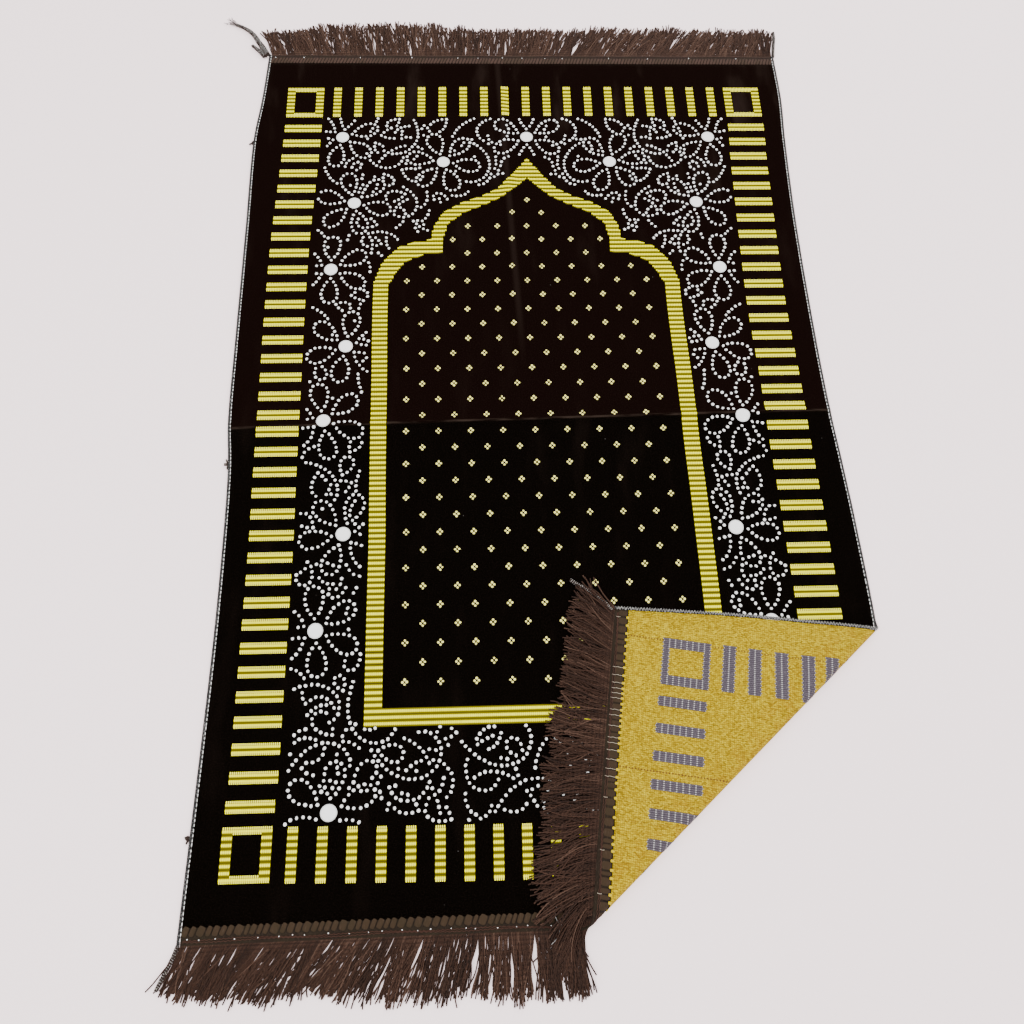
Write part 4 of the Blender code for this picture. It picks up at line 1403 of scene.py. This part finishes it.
# Strays of single yarns in degrees, their curl at the tip, and their sway: head, foot, flap
YARN_MOODS = {"head": (8.5, 9.0, 0.0012), "foot": (6.5, 6.0, 0.0012), "flap": (9.0, 17.0, 0.0030)}
LEAST_SWAY = 0.0004
YARN_LENGTHS = (0.86, 1.07)
WILD_SHARE = 0.10
WILD_STRAY = 26.0
YARN_ROOT_INWARD = 0.0020
YARN_EDGE_INWARD = -0.0002
YARN_ROOT_UP = 0.0015
LOCK_WIDTH = 0.0098
LOCK_WIDTHS = (0.6, 1.4)
LOCK_LENGTHS = (0.92, 1.08)
LOCK_LEAN_STRAY = 2.6
LOCK_CURL_STRAY = 5.0
LOCK_CLINGS = 0.55
LOCK_CLING_RANGE = (0.3, 1.3)
FLAP_CLINGS = 0.35
LOCK_ROOT_SHARE = {"head": 1.00, "foot": 0.97, "flap": 1.0}
LOCK_SHADE_STRAY = 0.15
END_SHADE = {"head": 0.16, "foot": 0.0}
FLAP_STARTS = 0.050
LOCK_GAP = (0.0002, 0.0006)
FIRST_LOCK = 0.0008
LAST_LOCK = 0.001
SWAY_TURNS = (5.0, 11.0)
SWAY_START = 6.3
YARN_DROP = 0.0090
YARN_STACK = 0.0026
FLAP_STACK = 1.9
PLY_LENGTH = 0.0042
PLY_DEPTH = 0.0003
ABOVE_PILE = 0.0008
# Lean of the fringe, in degrees clockwise from straight out, seen from above:
# (across, at the root, at the tip, length)
HEAD_LEANS = (
    (-0.345, -14.0, -26.0, 0.044), (-0.250, -14.0, -16.0, 0.057), (-0.150, -6.0, -8.0, 0.058),
    (-0.050, 2.0, 4.0, 0.052), (0.050, 20.0, 26.0, 0.054), (0.150, 30.0, 38.0, 0.057),
    (0.250, 28.0, 36.0, 0.056), (0.315, 14.0, 20.0, 0.050), (0.345, 2.0, 4.0, 0.048),
)
FOOT_LEANS = (
    (-0.345, 22.0, 26.0, 0.046), (-0.270, 32.0, 40.0, 0.056), (-0.180, 34.0, 40.0, 0.058),
    (-0.100, 14.0, 18.0, 0.056), (-0.040, 0.0, 2.0, 0.056), (0.024, -8.0, -16.0, 0.054),
    (0.050, -48.0, -108.0, 0.068), (0.061, -34.0, -70.0, 0.066), (0.075, -26.0, -48.0, 0.064),
    (0.095, -18.0, -31.0, 0.062), (0.120, -11.0, -21.0, 0.061), (0.180, -5.0, -10.0, 0.058),
    (0.260, 8.0, 12.0, 0.053), (0.335, 24.0, 36.0, 0.050),
)
FRINGE_BROWN = (0.054, 0.0240, 0.0140, 1.0)
FRINGE_DARK = (0.018, 0.0078, 0.0045, 1.0)
FRINGE_LIGHT = (0.125, 0.068, 0.045, 1.0)


def ground_under(plan):
    """Height of the pile or the floor under points seen from above."""
    across, along = plan.T
    inside = (across > read_table(SIDE_EDGES, along, 1)) & (across < read_table(SIDE_EDGES, along, 2))
    inside &= (along > read_table(END_EDGES, across, 2)) & (along < read_table(END_EDGES, across, 1))
    return np.where(inside & (past_fold(plan)[0] < 0.0), CLOTH_THICKNESS + ABOVE_PILE, 0.0)


def yarn_path(root, heading, lean_root, lean_tip, length):
    """A yarn's way seen from above, from its root, with its lean growing to the tip."""
    lean = np.radians(lean_root + (lean_tip - lean_root) * np.linspace(0.0, 1.0, YARN_STEPS) ** 0.8)
    moves = pointing(heading - lean) * length / (YARN_STEPS - 1)
    return root + np.vstack((np.zeros(2), np.cumsum(moves[:-1], axis=0)))


def yarn_height(path, root_up, share, length, hump):
    """Heights of a yarn that falls from its root and settles on what lies under it."""
    rest = ground_under(path) + YARN_RADIUS + hump * np.sin(math.pi * share * 0.9)
    for _ in range(2):
        rest[1:-1] = 0.25 * rest[:-2] + 0.5 * rest[1:-1] + 0.25 * rest[2:]
    fallen = smooth_step(share * length / YARN_DROP)
    lowest = (ground_under(path) + 0.8 * YARN_RADIUS) * fallen
    return np.maximum(root_up + (rest - root_up) * fallen, lowest)


fringe_finish, tree, shader = new_finish("fringe_yarn", 0.80, 0.20)
shade = held(tree, "shade")
spin_x, spin_y = held(tree, "spin_x"), held(tree, "spin_y")
turns = held(tree, "run") * (2.0 * math.pi / PLY_LENGTH)
twice_cosine = spin_x * spin_x - spin_y * spin_y
twice_sine = spin_x * spin_y * 2.0
plies = twice_cosine * maths("COSINE", turns) + twice_sine * maths("SINE", turns)
fluff = yarn_fluff(tree, 1300.0, 3.0)
colour = tint(FRINGE_DARK, shade.ramp(0.0, 0.7, "LINEAR"), FRINGE_BROWN)
colour = tint(colour, shade.ramp(0.7, 1.0) * 0.8, FRINGE_LIGHT)
# The grooves between the two plies are painted darker: painted shade
colour = tint(colour, plies.ramp(0.2, -0.9) * 0.55, FRINGE_DARK)
paint(shader, tint(colour, fluff.ramp(0.5, 0.8) * 0.35, FRINGE_LIGHT))
relief(shader, fluff.scaled(0.4, plies), PLY_DEPTH)

for end_name, outward, seed, leans in (("head", 1.0, 41, HEAD_LEANS), ("foot", -1.0, 43, FOOT_LEANS)):
    chance = random.Random(seed)
    places, *lean_columns = np.array(leans).T
    start, stop = end_reach(outward)
    share = np.linspace(0.0, 1.0, YARN_STEPS)
    lines = []
    shades = []
    lock_start = start + FIRST_LOCK
    while lock_start < stop - LAST_LOCK:
        lock_width = min(LOCK_WIDTH * chance.uniform(*LOCK_WIDTHS), stop - lock_start)
        lock_middle = lock_start + 0.5 * lock_width
        lock_lean = chance.gauss(0.0, LOCK_LEAN_STRAY)
        lock_curl = chance.gauss(0.0, LOCK_CURL_STRAY)
        lock_length = chance.uniform(*LOCK_LENGTHS)
        lock_cling = LOCK_CLINGS * chance.uniform(*LOCK_CLING_RANGE)
        on_flap = outward < 0 and lock_middle > FLAP_STARTS
        part = "flap" if on_flap else end_name
        stray_spread, curl_spread, widest_sway = YARN_MOODS[part]
        lock_cling *= FLAP_CLINGS if on_flap else 1.0
        stack = YARN_STACK * (FLAP_STACK if on_flap else 1.0)
        lock_shade = chance.uniform(-LOCK_SHADE_STRAY, LOCK_SHADE_STRAY) + END_SHADE[end_name]
        count = max(1, round(lock_width / (FLAP_YARN_PITCH if on_flap else YARN_PITCH)))
        for number in range(count):
            across = lock_middle + ((number + 0.5) / count - 0.5) * lock_width * LOCK_ROOT_SHARE[part]
            flat_roots = np.vstack((
                end_line(outward, (across,), YARN_ROOT_INWARD),
                end_line(outward, (across,), YARN_EDGE_INWARD),
                end_line(outward, (lock_middle,), YARN_ROOT_INWARD),
            ))
            root, edge, lock_root = lay(raised(flat_roots, YARN_ROOT_UP))
            heading = math.atan2(edge[1] - root[1], edge[0] - root[0])
            lean_root, lean_tip, length = (float(np.interp(across, places, column))
                                           for column in lean_columns)
            stray = chance.gauss(0.0, stray_spread)
            curl = chance.gauss(0.0, curl_spread)
            if chance.random() < WILD_SHARE:
                stray = chance.uniform(-WILD_STRAY, WILD_STRAY)
            length = length * lock_length * chance.uniform(*YARN_LENGTHS)
            path = yarn_path(root[:2], heading, lean_root + lock_lean + 0.6 * stray,
                             lean_tip + lock_lean + lock_curl + stray + curl, length)
            cling = lock_cling * np.sin(0.70 * math.pi * share) ** 2.0
            path += (lock_root - root)[:2] * cling[:, None]
            sway = chance.uniform(LEAST_SWAY, widest_sway)
            sway = sway * np.sin(share * chance.uniform(*SWAY_TURNS) + chance.uniform(0.0, SWAY_START))
            over = np.array((-math.sin(heading), math.cos(heading)))
            path += over * (sway * share)[:, None]
            height = yarn_height(path, root[2], share, length, chance.uniform(0.0, stack))
            lines.append(raised(path, height))
            shades.append(min(1.0, max(0.0, chance.betavariate(2.0, 2.2) + lock_shade)))
        lock_start += lock_width + max(0.0, chance.gauss(*LOCK_GAP))
    yarns = spin_threads(lines, YARN_RADIUS, fringe_finish, YARN_SIDES, shades)
    keep_piece("fringe_yarns_" + end_name, yarns, "fringe_" + end_name)


# ---- The weave on the back ---------------------------------------------------
# The border and the arch show on the golden back as mauve-grey blocks, where the gold yarn
# is on the other face. White ties cross them at every rib.
BACK_MAUVE = (0.078, 0.062, 0.078, 1.0)
BACK_MAUVE_SIDE_SHADE = (0.026, 0.018, 0.024, 1.0)
BACK_TIE = (0.480, 0.450, 0.440, 1.0)
BACK_CELL_LIFT = 0.00022
BACK_CELL_DEPTH = 0.0003
BACK_TOOTH = 0.0009


def cell_tree():
    """Cells of the weave on the back: one flat facet on every point, as long as the point says."""
    tree, given = new_tree("back_cells", "Cell width")
    x, y = own_place(tree)
    cell = note(note(grid(tree, 1.0, 1.0, 2, 4), "cell_x", x), "cell_y", y)
    scale = xyz(tree, given["Cell width"], noted(tree, "reach"), 1.0)
    return spread(given, cell, scale, xyz(tree, 0.0, math.pi, 0.0))


cell_finish, tree, shader = new_finish("back_blocks", 0.75)
cell_x, cell_y = abs(held(tree, "cell_x")), abs(held(tree, "cell_y"))
fibres = yarn_fluff(tree, 1200.0, 3.0)
# Each cell is painted darker towards its sides: painted shade between the columns of yarn
colour = tint(BACK_MAUVE, cell_x.ramp(0.22, 0.48), BACK_MAUVE_SIDE_SHADE)
colour = tint(colour, fibres.ramp(0.50, 0.75) * 0.22, BACK_TIE)
tie_shows = cell_y.ramp(0.385, 0.425) * cell_x.ramp(0.30, 0.20)
paint(shader, tint(colour, tie_shows * 0.9, BACK_TIE))
bulge = 1.0 - cell_x * cell_x * 3.0
relief(shader, fibres.scaled(0.5, bulge), BACK_CELL_DEPTH)

past_head = BACK_TOOTH * head_edge * odd_column
past_foot = BACK_TOOTH * foot_edge * odd_column
back_border = border_places.copy()
back_border[:, 1] += 0.5 * (past_head - past_foot)
back_places = np.vstack((back_border, arch_floats))
back_reach = np.concatenate((RIB_PITCH + past_head + past_foot, arch_reach + RIB_PITCH - FLOAT_REACH))
cells = weave(cell_tree(), raised(back_places, -BACK_CELL_LIFT),
              {"Cell width": COLUMN_PITCH, "Finish": cell_finish}, {"reach": back_reach})
keep_piece("back_blocks", lay_mesh(cells))


# ---- The overlocked edges ----------------------------------------------------
# Black thread is sewn round and round both side edges, with a row of white stitches on the
# pile and a grey-white looping thread on the back.
EDGE_MIDDLE = 0.5 * SERGING_WIDTH
EDGE_ENDS_AT = 0.345
EDGE_ENDS = 0.0005
CORE_RING_CORNERS = 8
CORE_STEP = 0.0030
CORE_HALF_WIDTH = 0.00150
CORE_HALF_HEIGHT = 0.00135
WRAP_PITCH = 0.00190
WRAP_STEPS = 6
WRAP_RADIUS = 0.00034
# Unevenness of the wrap: its share, and its turn per metre
WRAP_SWELL = (0.06, 2100.0)
PICK_PITCH = 0.0045
PICK_ENDS = 0.004
PICK_LENGTH = 0.0023
PICK_LENGTHS = (0.8, 1.2)
PICK_ASTRAY = 0.0004
PICK_ARCH = 0.0003
PICK_INWARD = SERGING_WIDTH + 0.0002
PICK_LIFTS = np.array((-0.0002, 0.0004, 0.0004, -0.0002))
PICK_RADIUS = 0.00034
LOOP_PITCH = 0.0030
LOOP_ENDS = 0.002
LOOP_REACH = 0.0017
LOOP_FORTH = 0.0007
# Waves of the looping thread: their height, and their turn per metre
LOOP_WAVE = (0.0003, 900.0)
LOOP_RADIUS = 0.00034
EDGE_BLACK = (0.012, 0.011, 0.011, 1.0)
EDGE_GREY = (0.200, 0.190, 0.180, 1.0)
LOOP_WHITE = (0.520, 0.500, 0.470, 1.0)
EDGE_DEPTH = 0.0002


def side_line(side, along, inward):
    """Flat places along one side of the rug, a distance inwards from its outer edge."""
    along = np.asarray(along, float)
    edge = read_table(SIDE_EDGES, along, 1 if side < 0 else 2)
    return np.column_stack((edge - side * inward, along))


edge_finish, tree, shader = new_finish("edge_thread", 0.70)
paint(shader, tint(EDGE_BLACK, yarn_fluff(tree, 700.0).ramp(0.52, 0.66), EDGE_GREY))
relief(shader, yarn_fluff(tree, 2000.0), EDGE_DEPTH)

loop_finish, tree, shader = new_finish("looping_thread", 0.65)
paint(shader, tint(EDGE_GREY, yarn_fluff(tree, 900.0).ramp(0.42, 0.56), LOOP_WHITE))

for side_name, side, seed in (("left", -1.0, 61), ("right", 1.0, 67)):
    chance = random.Random(seed)
    end_place = np.array((side * EDGE_ENDS_AT,))
    foot_end = float(read_table(END_EDGES, end_place, 2)[0]) + EDGE_ENDS
    head_end = float(read_table(END_EDGES, end_place, 1)[0]) - EDGE_ENDS
    stations = np.linspace(foot_end, head_end, int((head_end - foot_end) / CORE_STEP))
    rings = []
    for corner in range(CORE_RING_CORNERS):
        angle = 2.0 * math.pi * corner / CORE_RING_CORNERS
        inward = EDGE_MIDDLE + CORE_HALF_WIDTH * math.cos(angle)
        up = CLOTH_MIDDLE + CORE_HALF_HEIGHT * math.sin(angle)
        rings.append(raised(side_line(side, stations, inward), up))
    core = tube("core", rings, edge_finish)

    steps = np.arange(foot_end, head_end, WRAP_PITCH / WRAP_STEPS)
    angles = 2.0 * math.pi * np.arange(len(steps)) / WRAP_STEPS
    swell = 1.0 + WRAP_SWELL[0] * np.sin(steps * WRAP_SWELL[1])
    inward = EDGE_MIDDLE + (CORE_HALF_WIDTH + SEAT) * swell * np.cos(angles)
    up = CLOTH_MIDDLE + (CORE_HALF_HEIGHT + SEAT) * swell * np.sin(angles)
    wrap = lay(raised(side_line(side, steps, inward), up))

    picks = []
    for along in np.arange(foot_end + PICK_ENDS, head_end - PICK_ENDS, PICK_PITCH):
        first = along + chance.uniform(-PICK_ASTRAY, PICK_ASTRAY)
        run = np.linspace(first, first + PICK_LENGTH * chance.uniform(*PICK_LENGTHS), len(PICK_LIFTS))
        inward = PICK_INWARD + PICK_ARCH * np.sin(np.linspace(0.0, math.pi, len(PICK_LIFTS)))
        picks.append(lay(raised(side_line(side, run, inward), CLOTH_THICKNESS + PICK_LIFTS)))

    steps = np.arange(foot_end + LOOP_ENDS, head_end - LOOP_ENDS, LOOP_PITCH / 4.0)
    swing = np.arange(len(steps)) * 0.5 * math.pi
    inward = EDGE_MIDDLE + LOOP_REACH * np.sin(swing) + LOOP_WAVE[0] * np.sin(steps * LOOP_WAVE[1])
    loops = lay(raised(side_line(side, steps + LOOP_FORTH * np.sin(2.0 * swing), inward), -SEAT))
    parts = [
        core,
        spin_threads([wrap], WRAP_RADIUS, edge_finish),
        spin_threads(picks, PICK_RADIUS, white_finish),
        spin_threads([loops], LOOP_RADIUS, loop_finish),
    ]
    keep_piece("overlocked_" + side_name, join_meshes(parts), "serging_" + side_name)


# ---- The thread chains -------------------------------------------------------
# The overlocking runs off the rug's corners as plaited chains, each with a pale looping
# thread. At the head end on the left one is long and thick and frays into loose yarns, with
# a shorter one beside it. A stray grey thread lies on the near fringe, and little knots of
# thread stick out of the left edge.
# Chains: side, points of the route, swing at its start and end, whether it lies on the pile
CHAINS = (
    ("left", ((-0.3465, 0.5390), (-0.3530, 0.5520), (-0.3620, 0.5670), (-0.3685, 0.5780),
              (-0.3800, 0.5890), (-0.3930, 0.5965)), (0.0036, 0.0012), False),
    ("left", ((-0.3500, 0.5380), (-0.3560, 0.5455), (-0.3630, 0.5530), (-0.3690, 0.5590)),
     (0.0026, 0.0012), False),
    ("left", ((-0.3505, -0.5425), (-0.3550, -0.5545), (-0.3610, -0.5665), (-0.3665, -0.5790)),
     (0.0012, 0.0010), False),
    ("right", ((0.3515, 0.5395), (0.3540, 0.5560), (0.3570, 0.5710), (0.3580, 0.5860)),
     (0.0012, 0.0010), False),
    ("right", ((0.0720, -0.2370), (0.0620, -0.2270), (0.0490, -0.2160), (0.0290, -0.2040)),
     (0.0012, 0.0010), True),
)
CHAIN_STEP = 0.0007
CHAIN_PLAIT = 0.0050
CHAIN_STRAND_RADIUS = 0.00110
CHAIN_STRAND_SIDES = 5
CHAIN_RISE = 0.6
CHAIN_BROWN = (0.022, 0.011, 0.007, 1.0)
CHAIN_PALE = (0.400, 0.360, 0.300, 1.0)
CHAIN_DEPTH = 0.0006
PALE_STRAND_RADIUS = 0.00028
PALE_STRAND_TURNS = 2.3
PALE_STRAND_MIDDLE = 0.8
PALE_STRAND_RISE = 0.9
FRAY_YARNS = 11
FRAY_LENGTH = 0.022
FRAY_LENGTHS = (0.5, 1.0)
FRAY_HEADING = 147.0
FRAY_SPREAD = 24.0
FRAY_BEND = 0.7
FRAY_STARTS = 0.012
FRAY_RADIUS = 0.00040
STRAY_THREAD = ((0.008, -0.508), (0.002, -0.516), (-0.001, -0.527), (0.003, -0.537), (0.000, -0.546),
                (-0.006, -0.552))
STRAY_STEP = 0.0015
STRAY_RADIUS = 0.00030
STRAY_LEAST_UP = 0.0022
STRAY_LIFT = 0.0012
KNOTS_ALONG = (0.3890, -0.0620, -0.4510)
KNOT_THREADS = 7
KNOT_LENGTH = 0.0050
KNOT_LENGTHS = (0.5, 1.2)
KNOT_SPREAD = 1.3
KNOT_BEND = 2.0
KNOT_SEAT = 0.001
LOOSE_STEPS = 9
LOOSE_LEAST_UP = 0.0006
# A loose thread's hump: its height, and its turn from root to tip
LOOSE_RISE = (0.0012, 2.6)


def rounded_route(points, step):
    """A smooth route through points, at even steps."""
    points = np.asarray(points, float)
    reach = reach_along(points)
    at = np.arange(0.0, reach[-1], step)
    table = np.column_stack((reach, points))
    return np.column_stack((read_table(table, at, 1), read_table(table, at, 2)))


def plait(points, ground, swings):
    """Three strands plaited along a route over a ground height, and a pale thread round them."""
    route = rounded_route(points, CHAIN_STEP)
    headings = np.gradient(route, axis=0)
    headings /= np.linalg.norm(headings, axis=1)[:, None]
    over = np.column_stack((-headings[:, 1], headings[:, 0]))
    turn = 2.0 * math.pi * np.arange(len(route)) * CHAIN_STEP / CHAIN_PLAIT
    swing = np.linspace(*swings, len(route))
    strands = []
    for strand in range(3):
        phase = turn + strand * 2.0 * math.pi / 3.0
        plan = route + over * (swing * np.sin(phase))[:, None]
        rise = ground + CHAIN_STRAND_RADIUS + swing * CHAIN_RISE * (1.0 + np.sin(2.0 * phase))
        strands.append(raised(plan, rise))
    around = PALE_STRAND_TURNS * turn
    wide = swing + CHAIN_STRAND_RADIUS
    plan = route + over * (wide * np.sin(around))[:, None]
    rise = ground + CHAIN_STRAND_RADIUS + PALE_STRAND_MIDDLE * swing
    rise += PALE_STRAND_RISE * wide * np.cos(around)
    return strands, raised(plan, np.maximum(rise, ground + PALE_STRAND_RADIUS))


def loose_thread(start, heading, length, bend):
    """A short thread that curls away over the floor."""
    steps = np.linspace(0.0, 1.0, LOOSE_STEPS)
    moves = pointing(heading + bend * steps) * length / (LOOSE_STEPS - 1)
    rise = LOOSE_LEAST_UP + LOOSE_RISE[0] * np.sin(LOOSE_RISE[1] * steps) ** 2
    return raised(start + np.cumsum(moves, axis=0), rise)


chain_finish, tree, shader = new_finish("chain_thread", 0.80)
grain = yarn_fluff(tree, 520.0, 3.0)
paint(shader, tint(CHAIN_BROWN, grain.ramp(0.60, 0.68) * 0.8, CHAIN_PALE))
relief(shader, grain, CHAIN_DEPTH)

chance = random.Random(71)
for side_name in ("left", "right"):
    dark_strands = []
    pale_strands = []
    for chain_side, points, swings, on_pile in CHAINS:
        if chain_side == side_name:
            strands, pale = plait(points, CLOTH_THICKNESS + ABOVE_PILE if on_pile else 0.0, swings)
            dark_strands += strands
            pale_strands.append(pale)
    for along in KNOTS_ALONG if side_name == "left" else ():
        start = side_line(-1.0, np.array((along,)), 0.0)[0] + (KNOT_SEAT, 0.0)
        for _ in range(KNOT_THREADS):
            heading = math.pi + chance.uniform(-KNOT_SPREAD, KNOT_SPREAD)
            length = KNOT_LENGTH * chance.uniform(*KNOT_LENGTHS)
            bend = chance.uniform(-KNOT_BEND, KNOT_BEND)
            dark_strands.append(loose_thread(start, heading, length, bend))
    dark_mesh = spin_threads(dark_strands, CHAIN_STRAND_RADIUS, chain_finish, CHAIN_STRAND_SIDES)
    pale_mesh = spin_threads(pale_strands, PALE_STRAND_RADIUS, loop_finish)
    keep_piece("chains_" + side_name, join_meshes([dark_mesh, pale_mesh]))

frayed = []
tip = np.array(CHAINS[0][1][-1])
back_way = np.array((math.cos(math.radians(FRAY_HEADING)), math.sin(math.radians(FRAY_HEADING))))
for number in range(FRAY_YARNS):
    heading = math.radians(FRAY_HEADING + chance.uniform(-FRAY_SPREAD, FRAY_SPREAD))
    start = tip - chance.uniform(0.0, FRAY_STARTS) * back_way
    length = FRAY_LENGTH * chance.uniform(*FRAY_LENGTHS)
    frayed.append(loose_thread(start, heading, length, chance.uniform(-FRAY_BEND, FRAY_BEND)))
keep_piece("frayed_end", spin_threads(frayed, FRAY_RADIUS, chain_finish))

stray = rounded_route(STRAY_THREAD, STRAY_STEP)
stray = raised(stray, np.maximum(ground_under(stray), STRAY_LEAST_UP) + STRAY_LIFT)
keep_piece("stray_thread", spin_threads([stray], STRAY_RADIUS, loop_finish))
